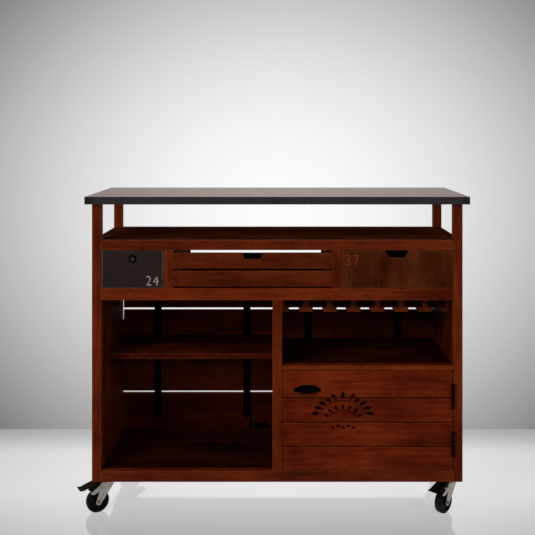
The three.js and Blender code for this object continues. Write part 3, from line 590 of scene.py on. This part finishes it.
def make_partitions():
    low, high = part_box("centre_partition")
    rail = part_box("front_middle_rail")
    face = low.y + STILE_DEPTH
    board("centre_stile", (low.x, low.y, low.z), (high.x, face, rail[0].z), Z, FRAME_WOOD, "cabinet",
          "frame_wood", 0.0015, ("centre_partition",))
    for i, (y0, y1) in enumerate(((face, 0.0), (0.0, high.y))):
        panel(f"centre_panel_{i + 1}", (-PANEL_HALF, y0, low.z), (PANEL_HALF, y1, high.z), Z,
              PANEL_WOOD_STAINED_AND_SHADED, "centre_partition")
    for side in ("left", "right"):
        node = f"drawer_divider_{side}"
        low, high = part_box(node)
        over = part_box("front_upper_rail")[0].z
        middle = (low.x + high.x) / 2
        board(f"drawer_stile_{side}", low, (high.x, face, over), Z, FRAME_WOOD, "cabinet",
              "frame_wood", 0.0015, (node,))
        panel(f"drawer_partition_{side}", (middle - PANEL_HALF, face, low.z),
              (middle + PANEL_HALF, high.y, high.z), Y, PANEL_WOOD_STAINED_AND_SHADED, node)


def make_shelves():
    low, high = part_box("left_shelf")
    depth = (high.y - low.y) / 2
    # the front plank takes the lighter side wood and the rear plank the darker shelf wood: a painted
    # highlight on the lit front edge and painted shade further in
    for i, material in enumerate((SIDE_WOOD, SHELF_WOOD_STAINED_AND_SHADED)):
        panel(f"left_shelf_plank_{i + 1}", (low.x, low.y + i * depth, low.z),
              (high.x, low.y + (i + 1) * depth, high.z), X, material, "left_shelf", edge=0.0016)
    low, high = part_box("right_shelf")
    lip = low.y + STILE_DEPTH
    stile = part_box("centre_partition")[1].x
    panel("right_shelf_lip", (stile, low.y, low.z), (high.x, lip, high.z), X, DOOR_WOOD,
          "right_shelf", edge=0.0015)
    middle = (lip + high.y) / 2
    for i, (y0, y1) in enumerate(((lip, middle), (middle, high.y))):
        panel(f"right_shelf_plank_{i + 1}", (low.x, y0, low.z), (high.x, y1, high.z), X,
              SHELF_WOOD_STAINED_AND_SHADED, "right_shelf")

    # cleats under the left shelf
    low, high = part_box("left_shelf")
    wide, tall, set_back = 0.018, 0.016, 0.12
    for side, x0, x1 in (("left", low.x, low.x + wide), ("right", high.x - wide, high.x)):
        panel(f"shelf_cleat_{side}", (x0, low.y + set_back, low.z - tall), (x1, high.y - 0.01, low.z), Y,
              PANEL_WOOD_STAINED_AND_SHADED, edge=0.0015)


def make_rack():
    low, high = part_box("glass_rack")
    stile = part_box("centre_partition")[1].x
    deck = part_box("drawer_deck")[0].z
    board_under = deck - RACK_BOARD
    stem_under = board_under - RACK_STEM_DROP
    flange_under = stem_under - RACK_FLANGE_DROP
    panel("rack_board", (low.x, low.y, board_under), (high.x, high.y, deck), Y, PANEL_WOOD_STAINED_AND_SHADED, "glass_rack")
    pitch = (high.x - stile) / (RACK_RAILS + 1)
    for i in range(RACK_RAILS + 2):
        middle = stile + i * pitch
        for part, width, z0, z1 in (("stem", RACK_STEM_WIDTH, stem_under, board_under),
                                    ("flange", RACK_FLANGE_WIDTH, flange_under, stem_under)):
            x0 = low.x if i == 0 else middle - width / 2
            x1 = min(middle + width / 2, high.x)
            panel(f"rack_{part}_{i + 1}", (x0, low.y, z0), (x1, high.y, z1), Y, CRATE_WOOD,
                  "glass_rack", edge=0.0016)


# ---- Door ----

def make_door():
    for i in range(4):
        node_board(f"door_plank_{i + 1}", X, DOOR_WOOD, "door_wood", edge=0.0014)
    low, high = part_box("door_brace")
    batten, inset = BATTEN_WIDTH, BRACE_INSET
    for side, x0 in (("left", low.x), ("right", high.x - batten)):
        board(f"door_batten_{side}", (x0, low.y, low.z), (x0 + batten, high.y, high.z), Z, DOOR_WOOD,
              "door", "door_wood", 0.0018, ("door_brace",))
    x0, x1 = low.x + batten, high.x - batten
    full = (low.x + inset, high.x - inset)
    fall = (high.z - low.z - 2 * inset - batten) / (full[1] - full[0])
    top_z = high.z - inset - fall * (x0 - full[0])
    board("door_diagonal", (x0, low.y, top_z - batten), (x1, high.y, top_z), X, DOOR_WOOD, "door",
          "door_wood", 0.0018, ("door_brace",),
          warp=lambda p: Vector((p.x, p.y, p.z - fall * (p.x - x0))))

    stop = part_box("centre_partition")[1].x
    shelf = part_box("right_shelf")[0].z
    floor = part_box("floor_panel")[1].z
    panel("door_stop", (PANEL_HALF, low.y + 0.001, floor), (stop + 0.012, low.y + 0.011, shelf), Z,
          PANEL_WOOD_STAINED_AND_SHADED)

    screws, inward = [], 0.022
    for i in range(4):
        under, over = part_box(f"door_plank_{i + 1}")
        screws += [(x, high.y, z) for x in (low.x + batten / 2, high.x - batten / 2)
                   for z in (under.z + inward, over.z - inward)]
    domes("door_batten_screws", screws, (0, 1, 0), 0.0038, 0.0016, BLACK_IRON, "door")


def make_hinges():
    for name in ("upper_hinge", "lower_hinge"):
        for leaf in ("door_leaf", "frame_leaf"):
            softened(f"{name}_{leaf}", BLACK_IRON, 0.0003, 40)
        low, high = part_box(f"{name}_frame_leaf")
        axis = JOINTS["door_hinge"]["pos_m"]
        for end, z, way in (("top", high.z, 1), ("foot", low.z, -1)):
            profile = [(1e-5, -0.001), (0.0046, -0.001), (0.0052, 0.0005), (0.0046, 0.0022),
                       (0.0026, 0.0036), (1e-5, 0.0042)]
            turned(f"{name}_finial_{end}", profile, (axis[0], axis[1], z), (0, 0, way), BLACK_IRON,
                   "cabinet", 20)


def make_cup_pull():
    low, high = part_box("cup_pull")
    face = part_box("door_plank_4")[0].y
    middle = (low.x + high.x) / 2
    bowl, depth, tall, wall = 0.029, face - low.y, high.z - low.z, 0.0018
    ear = 0.0065
    rows, columns = 14, 28
    points, faces, wear = [], [], []
    for shell in (0.0, wall):
        for r in range(rows + 1):
            lift = math.pi / 2 * r / rows
            for c in range(columns + 1):
                turn = math.pi * c / columns
                flat = math.cos(lift) ** 0.8
                points.append(Vector((
                    middle - (bowl - shell) * math.cos(turn) * flat,
                    face - (depth - shell) * math.sin(turn) ** 0.85 * flat,
                    low.z + (tall - shell) * math.sin(lift) ** 0.75,
                )))
                wear.append(1.0 if r < 1 or c in (0, columns) else 0.0)
    size = (rows + 1) * (columns + 1)
    for shell in range(2):
        for r in range(rows):
            for c in range(columns):
                a = shell * size + r * (columns + 1) + c
                quad = [a, a + 1, a + columns + 2, a + columns + 1]
                faces.append(quad if shell == 0 else quad[::-1])
    for c in range(columns):
        faces.append([c, size + c, size + c + 1, c + 1])
    for r in range(rows):
        for c in (0, columns):
            a, b = r * (columns + 1) + c, (r + 1) * (columns + 1) + c
            faces.append([a, b, size + b, size + a])
    bowl_piece = make_piece("cup_pull_bowl", points, faces, BLACK_IRON, "door", wear=wear,
                            sharp=60)
    face_out(bowl_piece)
    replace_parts(bowl_piece, "cup_pull")

    # the flange runs round the bowl and out to an ear at each end
    sides = []
    for sign in (-1, 1):
        for step in range(13):
            angle = math.pi / 2 - math.pi * step / 12
            sides.append((middle + sign * (0.0385 + ear * math.cos(angle)), ear + ear * math.sin(angle)))
        if sign < 0:
            sides.reverse()
    left, right = sides[:13], sides[13:]
    arch = [(middle + (bowl + 0.002) * math.cos(a), 2 * ear + (tall + 0.0015 - 2 * ear) * math.sin(a) ** 0.7)
            for a in (math.pi * i / 12 for i in range(1, 12))]
    outline = left + arch[::-1] + right
    thick = 0.0016
    points = [Vector((x, face, low.z + z)) for x, z in outline]
    points += [Vector((x, face - thick, low.z + z)) for x, z in outline]
    n = len(outline)
    faces = [list(range(n)), list(range(2 * n - 1, n - 1, -1))]
    faces += [[i, i + n, (i + 1) % n + n, (i + 1) % n] for i in range(n)]
    flange = make_piece("cup_pull_flange", points, faces, BLACK_IRON, "door", sharp=30)
    face_out(flange)
    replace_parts(flange, "cup_pull")
    domes("cup_pull_screws", [(middle + s * 0.0385, face - thick, low.z + ear) for s in (-1, 1)],
          (0, -1, 0), 0.0034, 0.0016, BLACK_IRON, "door", 16)


def flat_piece(name, outlines, y, thick, material, body):
    """Thin painted shapes on a face that looks to the front, each a closed list of (x, z)."""
    points, faces = [], []
    for outline in outlines:
        n, base = len(outline), len(points)
        points += [Vector((x, y - thick, z)) for x, z in outline]
        points += [Vector((x, y + thick, z)) for x, z in outline]
        faces.append([base + i for i in range(n)])
        faces.append([base + n + i for i in reversed(range(n))])
        faces += [[base + i, base + n + i, base + n + (i + 1) % n, base + (i + 1) % n]
                  for i in range(n)]
    face_out(make_piece(name, points, faces, material, body, sharp=20))


def leaf(x, z, angle, length, width):
    """Outline of a pointed leaf that starts at a place and grows along an angle."""
    c, s, steps = math.cos(angle), math.sin(angle), 16
    sides = [(i / steps, width / 2) for i in range(steps + 1)]
    sides += [(i / steps, -width / 2) for i in range(steps - 1, 0, -1)]
    outline = []
    for t, half in sides:
        along, off = t * length, half * math.sin(math.pi * t ** 0.8)
        outline.append((x + c * along - s * off, z + s * along + c * off))
    return outline


def clip(outline, low, high):
    """The part of an outline between two heights."""
    for limit, keep in ((low, 1), (high, -1)):
        kept = []
        for (x0, z0), (x1, z1) in zip(outline, outline[1:] + outline[:1]):
            a, b = keep * (z0 - limit), keep * (z1 - limit)
            if a >= 0:
                kept.append((x0, z0))
            if a * b < 0:
                t = a / (a - b)
                kept.append((x0 + t * (x1 - x0), z0 + t * (z1 - z0)))
        outline = kept
    return outline


def make_sprig():
    """A stencilled spray of leaves across the door."""
    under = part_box("door_plank_3")[0].z
    cx, cz = 0.216, under + 0.004
    shapes = []
    for ring, reach, count, size in ((0, 0.082, 11, 0.03), (1, 0.05, 7, 0.019)):
        for i in range(count):
            angle = math.pi * (0.12 + 0.76 * i / (count - 1))
            x, z = cx + reach * math.cos(angle), cz + (reach - 0.014) * math.sin(angle)
            lean = angle + (0.5 if angle > math.pi / 2 else -0.5) * (1 - ring)
            shapes.append(leaf(x, z, lean if i != count // 2 else math.pi / 2, size, size * 0.42))
    for reach in (0.08, 0.048):
        arc = [(cx + r * math.cos(a), cz + (r - 0.014) * math.sin(a))
               for r, order in ((reach, 1), (reach - 0.0022, -1))
               for a in [math.pi * (0.1 + 0.8 * k / 24) for k in range(25)][::order]]
        shapes.append(arc)
    for i in range(5):
        x = cx - 0.034 + i * 0.017
        shapes.append(leaf(x - 0.006, under - 0.017, 0.35 if i % 2 else -0.35, 0.016, 0.0075))
    for i in range(1, 5):
        low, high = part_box(f"door_plank_{i}")
        cut = [clip(shape, low.z + 0.001, high.z - 0.001) for shape in shapes]
        cut = [shape for shape in cut if len(shape) > 2]
        if cut:
            flat_piece(f"door_sprig_{i}", cut, low.y, 0.00025, DOOR_INK, "door")


# ---- Drawers ----

def notch_top(middle, top_width, bottom_width, depth):
    """How far a finger notch lowers the top edge of a board, and the loops that it needs."""
    outer, inner, corner = top_width / 2, bottom_width / 2, 0.004

    def top(x):
        off = abs(x - middle)
        if off >= outer:
            return 0.0
        if off <= inner - corner:
            return -depth
        t = clamp((outer - off) / (outer - inner + corner), 0.0, 1.0)
        return -depth * (t * (2 - t)) ** 0.8

    steps = [inner - corner + (outer - inner + corner) * i / 7 for i in range(8)]
    steps += [0.0, (inner - corner) / 2, outer + 0.002]
    return top, sorted({middle + s * way for s in steps for way in (-1, 1)})


def make_metal_drawer():
    low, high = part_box("metal_drawer_box")
    sheet = DRAWER_SHEET
    body, slot = "metal_drawer", "drawer_steel"

    def wall(name, a, b):
        board("metal_drawer_" + name, a, b, X, DRAWER_STEEL, body, slot, 0.0005,
              ("metal_drawer_box",), step=0.05)

    front = low.y + DRAWER_RECESS
    wall("front", (low.x + sheet, front, low.z + sheet), (high.x - sheet, front + sheet, high.z))
    wall("back", (low.x + sheet, high.y - sheet, low.z + sheet), (high.x - sheet, high.y, high.z))
    wall("left", (low.x, low.y, low.z), (low.x + sheet, high.y, high.z))
    wall("right", (high.x - sheet, low.y, low.z), (high.x, high.y, high.z))
    wall("floor", (low.x + sheet, low.y, low.z), (high.x - sheet, high.y, low.z + sheet))
    # the hems take the lighter hem steel: a painted highlight along the folded side edges of the front
    for side, x0, x1 in (("left", low.x, low.x + 0.004), ("right", high.x - 0.004, high.x)):
        board(f"metal_drawer_hem_{side}", (x0, low.y + 0.0002, low.z), (x1, front, high.z), Z, HEM_STEEL,
              body, slot, 0.0008, ("metal_drawer_box",), step=0.05)
    rivets = [(x, front, z) for x in (low.x + 0.011, high.x - 0.011)
              for z in (low.z + 0.012, high.z - 0.012)]
    domes("metal_drawer_rivets", rivets, (0, -1, 0), 0.0024, 0.001, DRAWER_STEEL, body)

    axis = JOINTS["lock_turn"]["pos_m"]
    face = front - 0.0001
    ring = [(0.0072, 0.0), (0.0132, 0.0), (0.0132, 0.0014), (0.0122, 0.0022), (0.0078, 0.0024),
            (0.0072, 0.0018)]
    rosette = turned("lock_rosette", ring, (axis[0], face, axis[2]), (0, -1, 0), BLACK_IRON, body,
                     36, lambda r, h: 0.0)
    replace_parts(rosette, "lock_housing")
    sleeve = [(0.0058, 0.0), (0.0072, 0.0), (0.0072, 0.0022), (0.0068, 0.0026), (0.0058, 0.0022)]
    turned("lock_sleeve", sleeve, (axis[0], face, axis[2]), (0, -1, 0), HEM_STEEL, body,
           36)
    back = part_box("lock_housing")[1].y
    barrel = [(0.0058, 0.0), (0.0068, 0.0), (0.0068, back - face), (0.0058, back - face)]
    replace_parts(turned("lock_barrel", barrel, (axis[0], face, axis[2]), (0, 1, 0), LOCK_METAL, body,
                       28), "lock_housing")
    softened("lock_cylinder", DRAWER_STEEL, 0.0003)


def numerals(name, digits, left, under, height, y, material, body):
    """Painted numerals on a face that looks to the front."""
    curve = bpy.data.curves.new(name, "FONT")
    curve.body = digits
    curve.size = height / 0.69
    curve.space_character = 1.08
    curve.resolution_u = 6
    curve.offset = -height * 0.012
    made = linked(name + "_curve", curve)
    bpy.context.view_layer.update()
    flat = bpy.data.meshes.new_from_object(made.evaluated_get(bpy.context.evaluated_depsgraph_get()))
    bpy.data.objects.remove(made)
    x0 = min(v.co.x for v in flat.vertices)
    z0 = min(v.co.y for v in flat.vertices)
    scale = height / (max(v.co.y for v in flat.vertices) - z0)
    solid = bmesh.new()
    solid.from_mesh(flat)
    bmesh.ops.remove_doubles(solid, verts=solid.verts, dist=1e-6)
    solid.verts.index_update()
    places = [(left + v.co.x - x0, under + (v.co.y - z0) * scale) for v in solid.verts]
    fronts = [[v.index for v in f.verts] for f in solid.faces]
    solid.free()
    bpy.data.meshes.remove(flat)
    points = [Vector((x, depth, z)) for depth in (y - 0.0003, y) for x, z in places]
    sides = [pair for face in fronts for pair in zip(face, face[1:] + face[:1])]
    rims = [(a, b) for a, b in sides if sides.count((a, b)) + sides.count((b, a)) == 1]
    n = len(places)
    faces = fronts + [[n + i for i in reversed(face)] for face in fronts]
    faces += [[b, a, a + n, b + n] for a, b in rims]
    face_out(make_piece(name, points, faces, material, body, sharp=30))


def make_crate_drawer():
    body, slot = "crate_drawer", "crate_wood"
    node_board("crate_front_plank_lower", X, CRATE_WOOD, slot)
    low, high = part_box("crate_front_plank_upper")
    top, marks = notch_top((low.x + high.x) / 2, 0.067, 0.053, 0.021)
    board("crate_front_upper", low, high, X, CRATE_WOOD, body, slot, 0.0015,
          ("crate_front_plank_upper",), top, marks)
    low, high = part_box("crate_tray")
    front_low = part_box("crate_front_plank_lower")
    back = high.y - 0.015
    tray = ("crate_tray",)
    bottom = low.z + TRAY_BOTTOM
    corner_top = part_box("crate_front_plank_upper")[1].z + 0.004
    for i in range(3):
        width = (high.y - low.y) / 3
        board(f"crate_bottom_{i + 1}", (low.x, low.y + i * width, low.z),
              (high.x, low.y + (i + 1) * width, bottom), X, PANEL_WOOD_STAINED_AND_SHADED, body, slot, 0.001, tray)
    for name, (z0, z1) in zip(("lower", "upper"), CRATE_BACK_BOARDS):
        board("crate_back_" + name, (low.x, back, bottom + z0), (high.x, high.y, bottom + z1), X,
              CRATE_WOOD, body, slot, 0.0015, tray)
    for side, edge, way in (("left", low.x, 1), ("right", high.x, -1)):
        xs = sorted((edge, edge + way * 0.01))
        for i, (z0, z1) in enumerate(CRATE_SIDE_BOARDS):
            board(f"crate_side_{side}_{i + 1}", (xs[0], low.y, bottom + z0), (xs[1], back, bottom + z1),
                  Y, CRATE_WOOD, body, slot, 0.0012, tray)
        xs = sorted((edge, edge + way * CRATE_CORNER))
        for end, y0, y1 in (("front", low.y, low.y + CRATE_CORNER), ("rear", back - CRATE_CORNER, back)):
            board(f"crate_corner_{end}_{side}", (xs[0], y0, bottom), (xs[1], y1, corner_top), Z,
                  CRATE_WOOD, body, slot, 0.0012, tray)
    nails = [(x, front_low[0].y, z) for x in (low.x + 0.009, high.x - 0.009)
             for node in ("crate_front_plank_lower", "crate_front_plank_upper")
             for z in (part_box(node)[0].z + 0.013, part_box(node)[1].z - 0.013)]
    domes("crate_nails", nails, (0, -1, 0), 0.0022, 0.0007, BLACK_IRON, body)


def make_plank_drawer():
    body, slot = "plank_drawer", "drawer_wood"
    low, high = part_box("plank_drawer_front")
    top, marks = notch_top((low.x + high.x) / 2, 0.075, 0.046, 0.025)
    board("plank_front", low, high, Z, DRAWER_WOOD, body, slot, 0.0014, ("plank_drawer_front",), top,
          marks)
    low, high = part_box("plank_drawer_tray")
    wall, bottom = 0.012, TRAY_BOTTOM
    tray = ("plank_drawer_tray",)
    board("plank_tray_bottom", low, (high.x, high.y, low.z + bottom), X, PANEL_WOOD_STAINED_AND_SHADED, body, slot, 0.001,
          tray)
    for name, a, b, along in (
            ("left", (low.x, low.y, low.z + bottom), (low.x + wall, high.y, high.z), Y),
            ("right", (high.x - wall, low.y, low.z + bottom), (high.x, high.y, high.z), Y),
            ("front", (low.x + wall, low.y, low.z + bottom), (high.x - wall, low.y + wall, high.z), X),
            ("back", (low.x + wall, high.y - wall, low.z + bottom), (high.x - wall, high.y, high.z), X)):
        board(f"plank_tray_{name}", a, b, along, CRATE_WOOD, body, slot, 0.0012, tray)


def make_numerals():
    low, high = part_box("metal_drawer_box")
    numerals("steel_drawer_number", "24", high.x - 0.059, low.z + 0.009, 0.031, low.y + DRAWER_RECESS,
             STEEL_PAINT, "metal_drawer")
    low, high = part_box("plank_drawer_front")
    numerals("plank_drawer_number", "37", low.x + 0.01, high.z - 0.049, 0.036, low.y, WOOD_PAINT,
             "plank_drawer")


# ---- Casters ----

def caster_place(name):
    """The row-frame matrix of a caster, whose X points the way it trails."""
    swivel = Vector(JOINTS[f"{name}_swivel"]["pos_m"])
    axle = Vector(JOINTS[f"{name}_roll"]["pos_m"])
    way = Vector((axle.x - swivel.x, axle.y - swivel.y, 0)).normalized()
    across = Vector((0, 0, 1)).cross(way)
    turn = Matrix((way, across, Vector((0, 0, 1)))).transposed().to_4x4()
    return Matrix.Translation((swivel.x, swivel.y, 0)) @ turn, axle, across


def mirrored(half):
    """A closed profile from its upper half."""
    return half + [(r, -h) for r, h in reversed(half)]


def make_casters():
    for name in CASTERS:
        place, axle, across = caster_place(name)
        node = f"caster_{name}"
        softened(node + "_plate", CASTER_ZINC, 0.0005)
        softened(node + "_fork", CASTER_ZINC, 0.0005)
        softened(node + "_brake_pedal", BLACK_IRON, 0.0005)
        radius, half = WHEEL_RADIUS, 0.012
        tyre = mirrored([(0.0262, half - 0.001), (0.0285, half), (0.033, half), (0.0352, half - 0.0012),
                         (0.0367, half - 0.003), (radius, half - 0.0065)])
        wheel = turned(node + "_tyre", tyre, axle, across, WHEEL_RUBBER, f"{name}_wheel",
                       64, lambda r, h: 1.0 if r > 0.036 else 0.0)
        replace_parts(wheel, node + "_wheel")
        core = mirrored([(0.0043, 0.014), (0.0098, 0.014), (0.0108, 0.0132), (0.0118, 0.0092),
                         (0.0235, 0.0086), (0.0262, 0.0106)])
        hub = turned(node + "_hub", core, axle, across, WHEEL_RUBBER, f"{name}_wheel",
                     48)
        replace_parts(hub, node + "_wheel")
        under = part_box(node + "_plate")
        centre = (under[0] + under[1]) / 2
        base, off = under[1].z - PLATE_THICKNESS, 0.024
        bolts = [(centre.x + sx * off, centre.y + sy * off, base) for sx in (-1, 1) for sy in (-1, 1)]
        domes(node + "_plate_screws", bolts, (0, 0, -1), 0.0038, 0.0022, CASTER_ZINC, "cabinet")
        for side in (-1, 1):
            face = place @ Vector((CASTER_TRAIL, side * 0.0205, WHEEL_RADIUS))
            hexagon = [(1e-5, 0.0), (0.0052, 0.0), (0.0052, 0.0016), (0.0044, 0.0022), (1e-5, 0.0022)]
            turned(f"{node}_nut_{'a' if side < 0 else 'b'}", hexagon, face, across * side, CASTER_ZINC,
                   f"{name}_fork", 6, sharp=20)


# ---- Stage, lights and camera ----

BACKDROP_Y = 0.573


def stage_sheet(name, corners, material):
    mesh = bpy.data.meshes.new(name)
    mesh.from_pydata(corners, [], [[0, 1, 2, 3]])
    mesh.materials.append(material)
    sheet = linked(name, mesh)


def make_stage():
    # backdrop: a glow that falls off from its middle, seen only from the front
    f = Finish("backdrop")
    axes = f.add("SeparateXYZ", {0: f.place()}).outputs
    side = f.math("MULTIPLY", axes[0], axes[0])
    rise = f.math("SUBTRACT", axes[2], 0.94)
    dimmer = f.weighted((side, 0.183), (f.math("MULTIPLY", rise, rise), 0.27))
    look = f.math("SUBTRACT", 0.985, dimmer)
    glow = f.math("POWER", f.math("MAXIMUM", look, 0.3), 2.2)
    shine = f.add("Emission", {"Strength": glow, "Color": (1, 1, 1, 1)}).outputs[0]
    clear = f.add("BsdfTransparent").outputs[0]
    behind = f.add("NewGeometry").outputs["Backfacing"]
    both = f.add("MixShader", {0: behind, 1: shine, 2: clear}).outputs[0]
    f.tree.links.new(both, f.tree.nodes["Material Output"].inputs["Surface"])
    wide = 6.0
    stage_sheet("backdrop", [(-wide, BACKDROP_Y, 0), (wide, BACKDROP_Y, 0), (wide, BACKDROP_Y, wide),
                             (-wide, BACKDROP_Y, wide)], f.material)

    # floor: a glow that also lights the cart from below, with painted shade towards the backdrop, towards
    # the front and to the sides
    f = Finish("floor")
    axes = f.add("SeparateXYZ", {0: f.place()}).outputs
    near_wall = f.span(axes[1], 0.3, BACKDROP_Y, 0.0, 0.24)
    near_front = f.span(axes[1], -0.5, 0.05, 0.24, 0.0)
    side = f.math("MULTIPLY", axes[0], axes[0])
    speckle = f.noise(f.place(), (3, 3, 3), 3.0)
    dimmer = f.weighted((near_wall, 1), (near_front, 1), (side, 0.05), (speckle, -0.01))
    look = f.math("SUBTRACT", 0.945, dimmer)
    glow = f.math("POWER", f.math("MAXIMUM", look, 0.5), 2.2)
    f.finish(Base_Color=(0.2, 0.2, 0.2, 1), Roughness=0.08, Specular_IOR_Level=1.0, IOR=2.1,
             Emission_Color=(1, 1, 1, 1), Emission_Strength=f.math("MULTIPLY", glow, 0.65))
    stage_sheet("floor", [(-wide, -wide, 0), (wide, -wide, 0), (wide, wide, 0), (-wide, wide, 0)],
                f.material)

    # the sky is dim as a light and pale to the camera
    world = bpy.data.worlds.new("studio")
    world.use_nodes = True
    tree = world.node_tree
    mix = tree.nodes.new("ShaderNodeMixShader")
    ray = tree.nodes.new("ShaderNodeLightPath")
    tree.links.new(ray.outputs["Is Camera Ray"], mix.inputs[0])
    for socket, strength in ((1, 0.12), (2, 0.75)):
        sky = tree.nodes.new("ShaderNodeBackground")
        sky.inputs["Color"].default_value = (1, 1, 1, 1)
        sky.inputs["Strength"].default_value = strength
        tree.links.new(sky.outputs[0], mix.inputs[socket])
    tree.links.new(mix.outputs[0], tree.nodes["World Output"].inputs["Surface"])
    bpy.context.scene.world = world


def area_light(name, at, target, size, power, colour=(1, 1, 1)):
    """A large soft lamp. It casts no mirror image of itself into metal or the floor."""
    data = bpy.data.lights.new(name, "AREA")
    data.shape = "RECTANGLE"
    data.size, data.size_y = size
    data.energy = power
    data.color = colour
    light = linked(name, data)
    light.location = at
    light.rotation_euler = (Vector(target) - Vector(at)).to_track_quat("-Z", "Y").to_euler()
    light.visible_glossy = False


def make_lights():
    area_light("key", (-2.3, -2.6, 2.2), (0, 0, 0.75), (1.4, 1.8), 86, (1.0, 0.93, 0.96))
    area_light("fill", (2.6, -2.5, 1.9), (0, 0, 0.7), (1.4, 1.8), 54, (1.0, 0.93, 0.96))
    area_light("back_left", (-2.2, 2.4, 2.0), (0, 0, 0.6), (1.5, 1.5), 34)
    area_light("back_right", (2.2, 2.4, 2.0), (0, 0, 0.6), (1.5, 1.5), 34)


def make_camera():
    """A level camera. Its shift frames the cart as the photograph does."""
    data = bpy.data.cameras.new("camera")
    data.lens = 54.3
    data.sensor_width = 36
    data.shift_x = -0.026
    data.shift_y = -0.2595
    camera = linked("camera", data)
    camera.location = (0.0137, -2.845, 1.2727)
    camera.rotation_euler = (math.radians(90), 0, 0)
    bpy.context.scene.camera = camera


for make in (make_counter, make_frame, make_back, make_partitions, make_shelves, make_rack, make_door,
             make_hinges, make_cup_pull, make_sprig, make_metal_drawer, make_crate_drawer,
             make_plank_drawer, make_numerals, make_casters, make_stage, make_lights, make_camera):
    make()
bpy.context.scene.view_settings.view_transform = "Standard"
